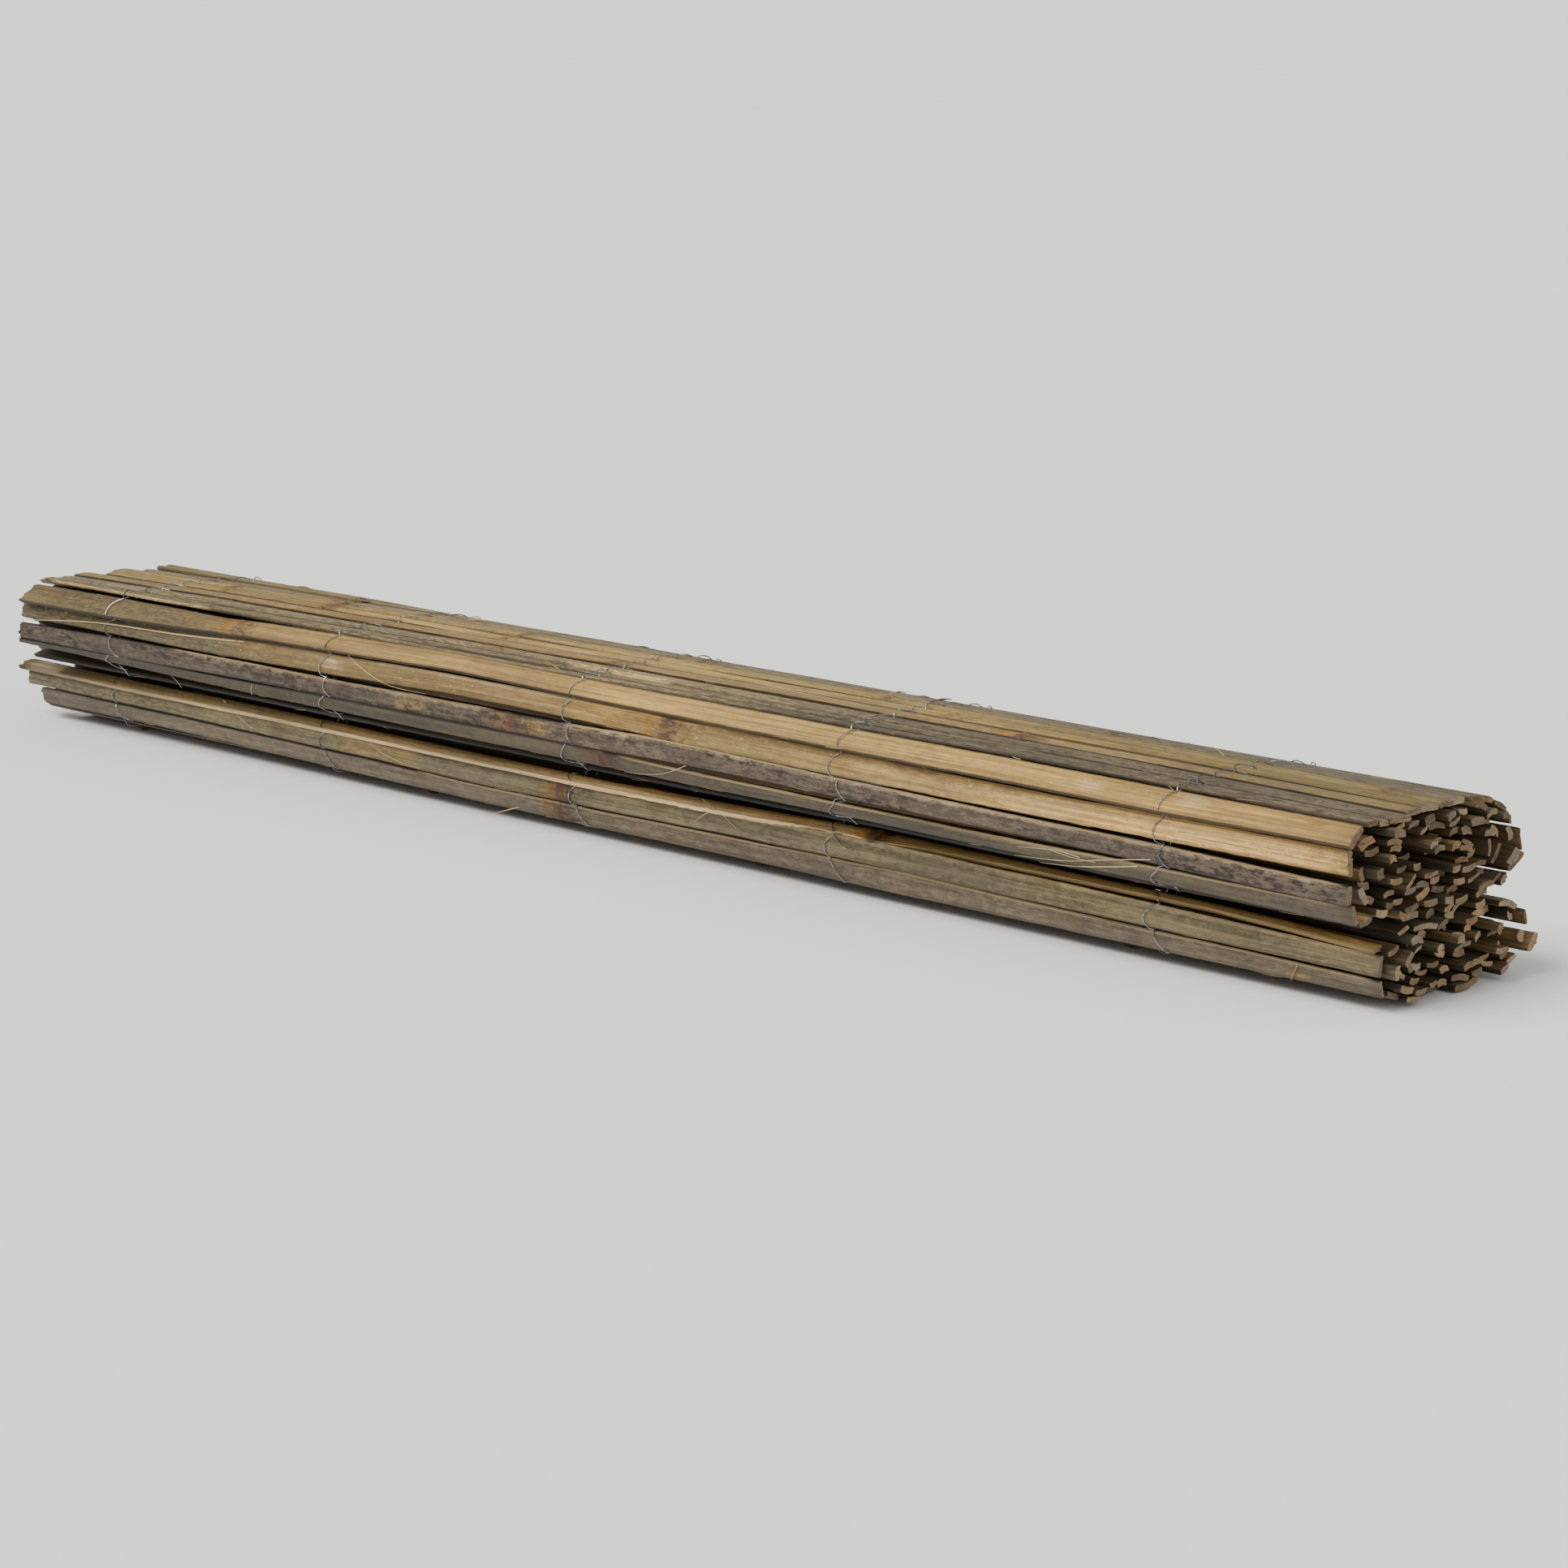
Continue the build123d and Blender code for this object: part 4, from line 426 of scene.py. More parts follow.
FAR = [
    (-1.58, -1.56, -11.0),
    (-1.22, -0.88, -3.8),
    (-2.09, -1.04, -3.1),
    (-0.86, 0.20, 5.4),
    (0.86, 0.62, 7.8),
    (0.70, -0.90, 3.3),
    (0.77, 0.75, -6.4),
    (-0.59, -0.05, 14.8),
    (-0.04, 0.70, 11.4),
    (-0.75, -0.87, -1.7),
    (0.33, -0.37, 1.6),
    (-1.48, -0.28, 5.1),
    (-0.11, -0.82, 0.8),
    (-0.14, -0.40, -0.8),
    (-1.67, 0.49, 1.8),
    (-0.76, -2.35, -0.7),
    (-0.07, 0.71, 1.6),
    (-0.47, 0.80, -12.9),
    (1.40, -1.38, -12.9),
    (-2.05, -1.42, 14.2),
    (0.80, -1.21, -11.3),
    (-1.36, -1.71, 3.8),
    (0.00, -0.62, 2.6),
    (0.78, 0.29, 1.8),
    (-0.84, -0.74, -5.5),
    (-1.02, -0.54, 8.1),
    (-1.04, -1.68, 2.8),
    (1.91, -0.57, -2.7),
    (0.42, 0.69, -9.2),
    (0.70, -0.59, -0.8),
    (0.10, -0.94, -5.2),
    (0.98, -0.90, -10.1),
    (1.59, -0.91, 3.0),
    (-0.32, -0.98, 4.7),
    (0.56, -0.43, 6.7),
    (1.23, -1.10, 1.0),
    (0.41, 0.70, 1.6),
    (-0.23, -0.27, 8.6),
    (1.42, -0.19, 6.5),
    (-0.62, -1.76, 11.2),
    (2.15, -0.21, 4.6),
    (1.13, -1.03, -7.3),
    (1.64, -0.13, 7.9),
    (0.04, -1.41, 18.9),
    (0.33, -1.04, 2.4),
    (-0.20, -2.06, -1.2),
    (-0.44, -0.46, -4.5),
    (-0.97, 0.46, 11.1),
    (0.60, -0.88, -1.2),
    (-0.56, -1.16, -1.7),
    (0.21, -0.95, 0.4),
    (-0.07, -0.69, -1.7),
    (0.03, -0.62, -0.3),
    (-0.25, -0.14, -1.5),
    (0.04, -0.90, -0.1),
    (-0.20, -0.58, 0.7),
    (0.14, -0.90, 1.2),
    (0.16, -0.91, -0.4),
    (-0.18, -0.41, 1.0),
    (0.38, -0.62, -0.4),
    (-0.02, -1.01, -1.8),
    (0.00, 0.00, 0.0),
    (0.00, 0.00, 0.0),
    (0.00, 0.00, 0.0),
    (0.00, 0.00, 0.0),
    (0.00, 0.00, 0.0),
    (-0.20, -0.68, 0.4),
    (0.04, 0.04, 2.5),
    (-0.19, 0.06, 8.9),
    (0.88, -0.70, -2.3),
    (-0.85, 0.02, 16.2),
    (0.25, -2.50, 6.4),
    (-0.89, -0.47, 5.0),
    (-0.31, -0.75, -2.9),
    (-0.39, -0.51, -2.3),
    (0.05, -0.56, 1.9),
    (0.33, -0.68, 0.6),
    (0.00, 0.00, 0.0),
    (0.00, 0.00, 0.0),
    (0.00, 0.00, 0.0),
    (0.00, 0.00, 0.0),
    (0.00, 0.00, 0.0),
    (0.00, 0.00, 0.0),
    (0.00, 0.00, 0.0),
    (0.00, 0.00, 0.0),
    (0.00, 0.00, 0.0),
    (0.00, 0.00, 0.0),
    (0.00, 0.00, 0.0),
    (0.00, 0.00, 0.0),
    (0.00, 0.00, 0.0),
    (0.00, 0.00, 0.0),
    (0.13, -0.50, 1.2),
    (-0.93, -0.71, 0.9),
    (-0.16, -0.57, -2.8),
    (-0.51, 0.20, 5.3),
    (1.17, 0.77, 11.8),
    (1.72, 0.74, 7.7),
    (-0.41, -1.15, 2.4),
    (-0.38, 0.01, 4.2),
    (-0.05, -0.20, -6.3),
    (1.49, -0.99, -3.1),
    (0.88, -0.95, -0.8),
    (-1.14, -1.74, -3.1),
    (-0.29, -2.31, -4.4),
    (0.45, 0.76, 0.8),
    (-1.05, -0.90, 4.4),
    (1.39, -0.29, 16.7),
    (0.18, -0.84, -4.4),
    (0.92, -0.30, -6.1),
    (-1.01, -2.34, 5.3),
    (-2.41, -0.01, 2.4),
    (-0.24, 0.70, -5.9),
    (0.37, -1.63, 12.8),
    (0.26, 0.47, -0.5),
    (-0.81, -1.06, -1.4),
    (1.57, -2.17, -3.7),
    (-1.00, 0.08, -4.8),
    (0.16, -1.56, 2.7),
    (-1.31, -0.18, -6.5),
    (1.14, -0.23, 16.8),
    (0.36, 0.11, -2.6),
    (0.23, -0.96, 0.2),
    (1.83, -1.71, -5.1),
    (-0.12, -0.67, 3.1),
    (1.29, -1.29, 9.0),
    (-0.14, -1.26, 1.5),
    (0.30, -0.20, -8.2),
    (0.59, -1.43, -0.9),
    (0.27, -1.24, -12.2),
    (-0.45, -0.56, 11.8),
    (1.20, -1.45, 6.4),
    (0.16, -1.36, 2.5),
    (-0.50, -1.19, 4.1),
    (-0.15, 0.09, -3.7),
    (-1.01, 0.01, -0.2),
    (-0.81, -0.41, 6.3),
    (-0.50, -0.88, 0.5),
    (-0.30, -0.23, 4.8),
    (0.26, -0.05, 3.9),
    (-0.40, -0.45, 2.0),
    (1.44, -1.47, -0.4),
    (-0.81, -0.78, 9.2),
    (1.62, -1.17, -1.4),
    (0.58, -0.14, 3.9),
    (-0.23, -0.78, -5.4),
    (1.48, -1.12, -3.7),
    (-1.02, -0.03, -5.6),
    (-0.47, 0.44, 8.2),
    (0.52, -1.74, -7.1),
    (0.23, -0.61, 10.8),
    (-0.55, 0.19, -3.3),
    (-1.60, -1.72, 4.3),
    (-0.47, 0.09, -8.3),
    (-1.47, -0.79, 6.6),
    (-0.73, -1.38, 0.6),
    (-0.42, -1.27, 3.7),
    (-0.44, -0.38, -4.5),
    (-0.86, -1.42, -5.1),
    (-0.93, -1.40, 2.9),
    (-1.45, -1.70, -12.7),
    (0.07, -1.43, -8.5),
    (2.83, -0.77, 7.5),
    (0.41, -1.13, -5.2),
    (-0.28, -1.13, 7.5),
    (-0.17, 0.10, -6.8),
    (-0.19, -1.73, -12.1),
    (0.08, -1.50, -2.3),
    (-0.17, -0.05, 1.2),
    (0.91, -0.25, 0.7),
    (0.47, -0.63, -1.4),
]
# splinters: slat, points (x, across, lift), radius, tone
HAIRS = [
    (88, [(-280.7, -0.64, -0.2), (-340.8, -0.3, 0.5), (-419.4, -0.02, 1.0), (-489.9, 1.25, 1.6)], 0.55, 'pale'),
    (64, [(-331.6, 1.98, 1.2), (-319.0, 0.8, 0.5), (-303.5, -0.39, 0.25), (-282.2, -1.0, -0.1)], 0.18, 'pale'),
    (64, [(-205.2, 1.33, 1.2), (-187.8, 0.03, 0.5), (-170.7, -0.58, 0.3), (-149.7, -0.89, -0.1)], 0.2, 'pale'),
    (88, [(-191.6, -1.24, 0.4), (-169.9, 0.19, 0.6), (-149.2, 1.15, 0.5), (-120.3, 1.38, 0.2)], 0.17, 'pale'),
    (64, [(71.5, 1.76, 2.6), (84.9, 0.85, 1.0), (100.2, -0.42, 0.5), (124.3, -0.93, -0.1)], 0.21, 'pale'),
    (64, [(79.5, 0.94, 0.8), (72.6, 0.4, 0.9), (66.8, -0.26, 1.2)], 0.22, 'pale'),
    (90, [(346.0, -0.56, 0.1), (331.7, -0.94, 0.6), (308.5, -0.53, 0.8)], 0.21, 'pale'),
    (90, [(389.2, -1.88, -0.1), (366.4, -1.08, 0.5), (335.1, 0.19, 0.9), (303.5, 1.26, 1.2)], 0.24, 'pale'),
    (90, [(380.5, -0.87, 0.1), (344.3, 0.68, 0.8), (318.2, 1.58, 1.2)], 0.18, 'pale'),
    (90, [(355.5, -0.33, 0.1), (341.1, -0.55, 0.8), (323.0, -1.12, 1.1)], 0.15, 'pale'),
    (63, [(-72.4, -0.49, -0.2), (-87.2, -1.43, 1.2), (-104.3, -2.5, 2.2)], 0.3, 'pale'),
    (80, [(375.6, 1.7, -0.1), (362.8, 0.25, 0.6), (351.2, -1.03, 1.6)], 0.31, 'pale'),
    (84, [(-110.1, 1.63, -0.1), (-120.3, 0.91, 0.3), (-130.5, 0.2, 0.6)], 0.21, 'pale'),
    (85, [(299.3, 3.64, -0.1), (294.6, 3.62, 0.4), (281.2, 0.71, 0.9)], 0.2, 'pale'),
    (86, [(394.7, 1.99, -0.1), (374.8, -1.22, 0.5), (359.5, -3.02, 0.8)], 0.18, 'pale'),
    (90, [(85.2, -1.97, 0.0), (69.2, -0.35, 0.6), (52.3, 0.59, 0.9), (36.5, 0.86, 1.1)], 0.2, 'pale'),
    (90, [(-275.0, 1.07, 0.6), (-272.4, -0.02, 0.4), (-270.6, -1.04, 0.1)], 0.17, 'pale'),
    (90, [(-345.5, 3.35, 0.7), (-348.3, 2.1, 0.4), (-351.1, 0.85, 0.1)], 0.18, 'pale'),
    (85, [(-31.2, 1.37, -0.1), (-39.8, 0.8, 0.5), (-51.3, -0.12, 0.9)], 0.4, 'warm'),
    (85, [(-24.6, 2.68, -0.1), (-35.0, 1.52, 0.4), (-38.4, 2.59, 0.8)], 0.32, 'tan'),
    (83, [(87.3, -0.79, 0.6), (107.5, -0.33, 0.2), (132.1, -0.07, -0.2)], 0.3, 'pale'),
    (65, [(182.4, 0.94, -0.2), (172.1, 1.45, 0.6), (164.3, 1.37, 1.2)], 0.5, 'brown'),
    (63, [(455.5, 1.05, 0.3), (454, 0.3, 0.5), (452, -0.4, 0.6), (450, -1.15, 0.9)], 0.42, 'tan'),
    (80, [(179.1, 0.4, -0.2), (177.4, -0.91, 0.5), (178.0, -1.71, 1.2), (181.9, -1.8, 1.5)], 1.1, 'brown'),
    (80, [(149.9, 0.4, -0.1), (148.2, -0.91, 0.5), (152.0, -1.34, 0.8)], 0.9, 'tan'),
    (80, [(286.0, 2.21, -0.2), (287.5, 1.31, 0.8), (294.8, 1.52, 0.6)], 1.2, 'brown'),
    (80, [(281.1, 2.07, 0.1), (286.8, 1.76, 0.5), (300.6, 1.87, 0.2)], 0.7, 'shade'),
    (79, [(-359.5, -1.96, -0.2), (-355.7, -2.86, 0.7), (-346.4, -2.86, 0.9)], 1.2, 'brown'),
    (80, [(-278.9, -0.05, -0.2), (-282.5, -1.57, 0.9), (-275.7, -1.84, 0.6)], 1.4, 'brown'),
    (79, [(-465.8, -2.86, 0.2), (-462.5, -2.86, 1.2), (-452.6, -2.86, 1.8)], 0.6, 'tan'),
    (81, [(-182.7, -2.59, -0.2), (-175.1, -3.04, 0.5), (-168.2, -3.04, 0.5)], 0.6, 'tan'),
]
# slat: (x, reach towards the slat before, reach towards the slat after)
EDGES = {
    87: [(-500, 4.01, 11.24), (-400, 4.61, 10.65), (-300, 4.9, 7.36), (-270, 6.46, 6.46), (-200, 7.6, 5.26), (-100, 8.07, 4.07), (0, 8.07, 4.49), (100, 7.6, 5.56), (200, 7.0, 6.58), (300, 6.46, 7.36), (400, 5.5, 8.07), (500, 4.9, 8.25)],
    88: [(-500, 4.53, 4.43), (-400, 5.53, 4.27), (-300, 7.95, 4.27), (-200, 8.55, 3.42), (-150, 8.95, 2.41), (-100, 9.05, 1.66), (-50, 9.05, 1.66), (0, 9.05, 1.91), (50, 8.55, 2.67), (70, 8.4, 3.92), (100, 8.05, 4.27), (200, 6.94, 5.28), (300, 6.54, 5.53), (400, 6.39, 5.53), (500, 6.64, 5.28)],
    89: [(-500, 5.51, 4.06), (-400, 7.25, 3.77), (-300, 7.25, 3.19), (-200, 7.37, 2.79), (-100, 8.01, 2.79), (0, 8.59, 2.21), (50, 9.17, 1.74), (100, 8.82, 1.62), (200, 7.66, 2.03), (300, 6.67, 2.5), (400, 5.51, 3.77), (500, 3.6, 4.93)],
    90: [(-500, 8.4, -5.6), (-400, 9.24, -3.83), (-300, 10.26, -2.66), (-200, 10.96, -1.87), (-100, 10.96, -1.49), (0, 11.29, -0.93), (50, 9.7, -1.03), (100, 8.77, -0.93), (200, 8.02, -0.47), (300, 7.46, -0.09), (400, 7.46, 1.17), (500, 7.23, 2.47)],
    65: [(-500, 7.4, 3.95), (-400, 7.65, 3.21), (-300, 6.91, 2.96), (-200, 6.91, 2.22), (-100, 7.65, 1.23), (0, 7.65, 0.25), (50, 7.65, 1.88), (100, 6.81, 3.21), (150, 3.95, 4.94), (190, 3.95, 6.32), (220, 1.58, 5.33), (300, 1.33, 3.6), (400, 1.48, 2.96), (450, 4.44, 0.49), (500, 7.9, -3.06)],
    64: [(-500, 1.31, 8.42), (-400, 1.66, 7.76), (-300, 1.83, 8.42), (-200, 2.62, 8.42), (-100, 3.84, 7.55), (0, 3.58, 7.76), (100, 2.18, 9.16), (200, 2.49, 10.03), (300, 3.18, 9.25), (400, 3.93, 7.98), (500, 5.23, 6.67)],
    63: [(-500, 1.15, 9.54), (-400, 0.94, 8.55), (-300, 2.22, 8.55), (-200, 3.21, 7.91), (-100, 4.28, 5.56), (0, 4.28, 6.2), (200, 4.28, 7.7), (300, 3.85, 7.06), (400, 3.85, 6.2), (500, 3.12, 5.13)],
}
# reach added towards the slat before and the slat after
GROW = {
    62: (0.3, 1.2), 77: (0.3, 0.3), 78: (0.3, 0.2), 79: (0.2, 0.3), 80: (0.9, 1.3), 81: (-0.4, 0.6), 82: (1.1, 0.4),
    83: (-0.4, -0.2), 84: (1.2, 1.5), 85: (-0.5, -0.9), 86: (0.0, -0.1),
}
# slat: (y, z, turn) by which the worn surface lies off the table above
POSE = {
    80: (-2.9, 1.4, 5.0), 81: (-3.0, 2.4, -6.4), 82: (-3.0, 2.0, 1.7), 83: (-2.1, 2.3, -8.2), 84: (-2.3, 1.8, -5.2),
    85: (-2.1, 2.6, -5.4), 86: (0.25, 0.5, 6.4),
}
# slat: (x, y, z) by which its middle leaves a straight line
CROWN = [(-500, 0, -3.0), (-350, 0, -0.8), (-100, 0, 0.4), (150, 0, 0.3), (350, 0, -0.6), (500, 0, -2.4)]
LIFT = {k: CROWN for k in range(80, 86)}
LIFT[79] = [(-500, 0, 0.6), (-300, 0, 1.0), (0, 0, 0.9), (500, 0, -1.0)]
LIFT[78] = [(-500, 0, 1.8), (-300, 0, 1.2), (0, 0, 0.4), (500, 0, -0.6)]
LIFT[77] = [(-500, 0, 2.4), (-300, 0, 1.0), (0, 0, 0.0)]
LIFT[86] = [(-500, 0, 0.2), (-330, 0, 0.4), (-230, 0, 0.0), (350, 0, -0.1), (500, 0, -1.2)]
RAGGED = {65: (0, 190, -1, .60), 86: (-490, -220, 1, .30), 82: (-420, -275, 1, .50), 84: (-60, 60, 1, .40)}
KNOTS = {(88, 66): 0.9, (87, -287): 1.4, (89, -50): 0.9, (64, -38): 1.6, (63, -40): 1.6, (90, 20): 1.6, (83, 270): 2.0, (83, -283): 0.3, (82, -275): 1.6, (81, -275): 1.6, (79, -292): 1.6, (65, 190): 1.6}
# knuckles that only the worn surface shows
EXTRA = {87: [-287], 89: [-50], 82: [-275], 81: [-275]}
# pale, freshly split edges: (slat, side): (from x, to x, how much)
PALE = {
    (89, -1): [(-350, -60, .55), (-10, 500, .62)], (90, -1): [(30, 500, .80)], (63, 1): [(-160, 500, .65)], (64, 1): [(-480, -250, .35), (60, 330, .45)],
    (65, -1): [(-505, 10, .60)], (86, 1): [(-485, -320, .75)], (84, 1): [(-40, 48, .7), (180, 300, .35)],
    (85, -1): [(-300, -120, .3)], (82, 1): [(-180, 60, .30)],
}
# bands on a face: slat: (tone, across from, across to, from x, to x, how much)
BAND = {
    # 65's pale band is partly its pale split face and partly painted light: the face lies in the upper roll's shadow
    65: [("pale", -1.0, 0.60, -530, 190, .90), ("straw", -1.0, 0.40, 190, 510, .80), ("brown", 0.70, 1.0, -530, 190, .55), ("brown", -0.9, 0.9, 183, 200, .55)],
    90: [("pale", -0.86, -0.70, 240, 500, .25), ("brown", -0.95, 0.95, 9, 31, .50), ("shade", -0.95, 0.95, 18, 23, .85)],
    64: [("pale", 0.80, 0.99, 30, 500, .45), ("brown", -0.95, 0.95, -48, -31, .55), ("shade", -0.95, 0.95, -41, -37, .85), ("shade", -0.95, 0.95, -33.5, -31, .5), ("tan", -0.9, 0.9, -230, -150, .45), ("tan", 0.3, 0.9, -430, -250, .22)],
    88: [("warm", -0.9, 0.9, 0, 62, .60), ("brown", -0.9, 0.9, 61, 76, .62), ("pale", -0.99, -0.80, -170, 0, .30), ("brown", -0.95, -0.40, 220, 262, .60), ("brown", -0.95, -0.40, 290, 322, .55), ("pale", -0.3, 0.4, -211, -191, .60)],
    89: [("pale", -0.99, -0.80, -10, 500, .55), ("pale", -0.99, -0.80, -340, -70, .40), ("olive_tan", -0.6, 0.6, -150, -112, .50), ("olive_tan", -0.6, 0.6, -46, -18, .50), ("brown", -0.9, 0.9, -60, -42, .55)],
    87: [("pale", -0.3, 0.3, 338, 360, .35), ("pale", -0.6, 0.0, 398, 421, .35), ("gold", -0.9, 0.9, -297, -279, .55)],
    63: [("tan", -0.6, 0.2, 446, 464, .5), ("brown", -0.95, 0.95, -50, -33, .55), ("shade", -0.95, 0.95, -44, -40, .80)],
    84: [("pale", 0.3, 0.95, -40, 46, .45)], 83: [("straw", -0.9, 0.9, 258, 268, .45)], 82: [("brown", 0.0, 0.95, -350, -272, .40)], 81: [("brown", -0.9, 0.9, -290, -272, .5)],
}
# slat: (x, colour factor) along it; partly the cane's own tone, partly painted light and shade: 90, 91 and the far end
# of 65 are painted darker as shade, the face of 65 and the far ends of 77 to 80 are painted lighter against the shade
# they lie in
TINT_AND_PAINTED_LIGHT = {
    87: [(-500, (.35, .40, .54)), (-298, (.40, .43, .54)), (-278, (.70, .73, .84)), (-10, (.84, .86, .92)), (30, (1.10, 1.12, 1.18)), (250, (1.22, 1.25, 1.34)), (380, (1.04, 1.05, 1.10)), (500, (1.0, 1.0, 1.02))],
    88: [(-500, (.40, .46, .60)), (-305, (.45, .50, .62)), (-280, (.68, .71, .80)), (-10, (.80, .80, .86)), (0, (1.0, 1.0, 1.0)), (90, (1.0, 1.0, 1.0)), (200, (1.04, 1.04, 1.04)), (320, (1.85, 1.80, 1.76)), (470, (1.85, 1.78, 1.74)), (500, (1.3, 1.24, 1.16))],
    89: [(-500, (.66, .66, .64)), (-200, (.76, .75, .74)), (0, (.86, .84, .82)), (500, (.78, .76, .75))],
    90: [(-500, (.34, .34, .35)), (-100, (.42, .42, .43)), (30, (.44, .44, .44)), (300, (.52, .52, .51)), (500, (.62, .62, .60))],
    77: [(-500, (2.1, 1.95, 1.55)), (-250, (1.5, 1.45, 1.25)), (0, (1.0, 1.0, 1.0))],
    78: [(-500, (2.1, 1.95, 1.55)), (-250, (1.5, 1.45, 1.25)), (0, (1.0, 1.0, 1.0))],
    79: [(-500, (1.9, 1.75, 1.40)), (-250, (1.5, 1.40, 1.20)), (0, (1.1, 1.08, 1.0)), (500, (1.0, 1.0, 1.0))],
    80: [(-500, (1.5, 1.42, 1.20)), (-200, (1.2, 1.16, 1.05)), (500, (.95, .95, .92))],
    81: [(-500, (.78, .80, .86)), (-280, (.86, .87, .92)), (0, (1.0, 1.0, 1.06)), (170, (.80, .82, .90)), (260, (.66, .69, .77)), (500, (.56, .60, .68))],
    82: [(-500, (.82, .84, .90)), (-200, (1.0, 1.0, 1.06)), (60, (1.22, 1.22, 1.28)), (180, (.88, .90, .98)), (280, (.70, .73, .81)), (500, (.58, .62, .70))],
    83: [(-500, (.80, .83, .90)), (-200, (.90, .92, .98)), (100, (1.05, 1.06, 1.12)), (262, (.88, .90, .97)), (420, (.66, .69, .77)), (500, (.60, .64, .71))],
    65: [(-530, (.42, .40, .38)), (-475, (.55, .53, .50)), (-430, (.95, .93, .90)), (-300, (1.18, 1.15, 1.12)), (180, (1.34, 1.30, 1.26)), (215, (.74, .72, .70)), (510, (.80, .77, .74))],
    84: [(-500, (1.50, 1.42, 1.20)), (-100, (1.62, 1.52, 1.28)), (110, (1.45, 1.38, 1.18)), (200, (.84, .82, .80)), (500, (.80, .78, .75))],
    85: [(-500, (1.45, 1.36, 1.16)), (-100, (1.40, 1.32, 1.12)), (110, (1.20, 1.14, 1.02)), (200, (.78, .76, .74)), (500, (.80, .78, .75))],
    86: [(-500, (1.35, 1.26, 1.08)), (-150, (1.30, 1.22, 1.04)), (110, (1.1, 1.06, .96)), (200, (.74, .72, .70)), (500, (.78, .76, .73))],
    91: [(-500, (.5, .5, .5)), (300, (.6, .6, .6)), (370, (3.0, 3.1, 3.3)), (500, (3.4, 3.5, 3.8))],
    64: [(-500, (1.0, 1.0, 1.0)), (-43, (1.0, 1.0, 1.0)), (-34, (1.25, 1.0, .8)), (-25, (1.0, 1.0, 1.0)), (500, (1.05, 1.02, 1.0))],
}
MOTTLE = {
    87: [(-500, 3.2), (-300, 2.6), (-270, 1.0), (500, 1.0)],
    88: [(-500, 2.0), (-300, 1.6), (-250, .8), (40, .7), (66, 1.5), (100, 1.1), (170, .9), (430, .9), (500, 1.3)],
    89: [(-500, .95), (-60, .85), (0, .95), (500, .90)],
    64: [(-500, 1.4), (-240, 1.0), (500, 1.0)],
}
# the strand over a slat: where it begins and ends along the row, and how far its middle is off
ARCS = {
    80: (3, -2, -4), 81: (3, -2, -4), 82: (3, -2, -4), 83: (4, -3, -4), 84: (4, -3, -4), 85: (3, -2, -3), 86: (3, -2, -3),
    87: (3, -1, -3), 88: (1, -6, -4), 89: (0, 3, -2), 90: (-2, -7, -2), 65: (-1, -3, -3), 64: (-3, 1, -4), 63: (7, -1, -1), 62: (2, -2, -3),
}
# how loosely the wire lies over a slat
LOOSE = {77: 1.1, 78: 1.2, 79: 1.3, 80: 1.4, 81: 1.4, 82: 1.4, 83: 1.5, 84: 1.3, 85: 1.1, 61: 1.2, 62: 1.6, 63: 1.0}
# loose wire ends: (row, strand): [((slat, points), radius)]
TAILS = {(3, "a"): [((64, [(164, 0.95, 0.2), (168, 0.55, 0.9), (174, 0.10, 1.5), (181, -0.05, 1.9), (184, -0.30, 1.3)]), .33)]}
NEAR_PUSH = {73: -3, 74: -5, 75: -4, 76: -4, 77: -6, 78: -5}
FAR_PUSH = {77: 18, 78: 8, 79: 16, 80: 20, 81: 10, 82: 15, 83: 4, 84: 6, 85: 4, 86: 15, 87: 12, 88: 3, 89: 2, 65: -29, 64: -28, 63: -11, 62: -14}
END_THICK = -0.07
END_WIDE = -0.19
# how dark the split edges are painted, against the skin: painted shade that makes the gaps between slats read dark
EDGE_PAINTED_SHADE = {84: .62, 85: .62, 86: .55, 81: .34, 82: .34, 77: .62, 78: .62, 79: .60, 80: .55}
WORLD_STRENGTH = 0.55
# name, strength, angle, direction, colour
SUNS = [
    ("key", 3.7, 40, (0.30, 0.75, -1.0), (1.0, 0.985, 0.96)),
    ("side_fill", 1.04, 60, (-0.9, 0.25, -0.22), (1.0, 1.0, 1.0)),
]


MM = 0.001
COUNT = len(SLATS)
# slats of the core that end deeper inside the roll
SHORT = {160: 16.0, 163: 24.0, 164: 30.0, 167: 22.0, 168: 14.0, 155: 12.0, 139: 9.0, 72: 8.0, 48: 7.0}
LOWER_OUT = range(50, 67)
UPPER_OUT = range(73, 92)
OUTER = set(LOWER_OUT) | set(UPPER_OUT)
FRONT = set(range(62, 66)) | set(range(84, 91))
# where the wire rows lie on the upper and on the lower roll
ROWS = [-404.0, -203.5, -3.0, 191.5, 396.0]
LOW_ROWS = [-433.0, -235.0, -25.0, 164.5, 372.5]

# ------------------------------------------------------------------ tones
TONE = {
    "gold": (0.430, 0.270, 0.080),
    "tan": (0.385, 0.248, 0.084),
    "warm": (0.398, 0.248, 0.070),
    "straw": (0.600, 0.415, 0.160),
    "pale": (0.700, 0.530, 0.280),
    "yellow": (0.415, 0.285, 0.086),
    "olive_tan": (0.345, 0.232, 0.080),
    "olive": (0.185, 0.146, 0.076),
    "green": (0.190, 0.160, 0.088),
    "grey_olive": (0.178, 0.143, 0.085),
    "grey": (0.150, 0.122, 0.082),
    "purple": (0.122, 0.093, 0.066),
    "brown_grey": (0.172, 0.134, 0.087),
    "brown": (0.165, 0.092, 0.040),
    "flesh": (0.285, 0.188, 0.090),
    "shade": (0.052, 0.036, 0.020),
    "end": (0.262, 0.203, 0.134),
}
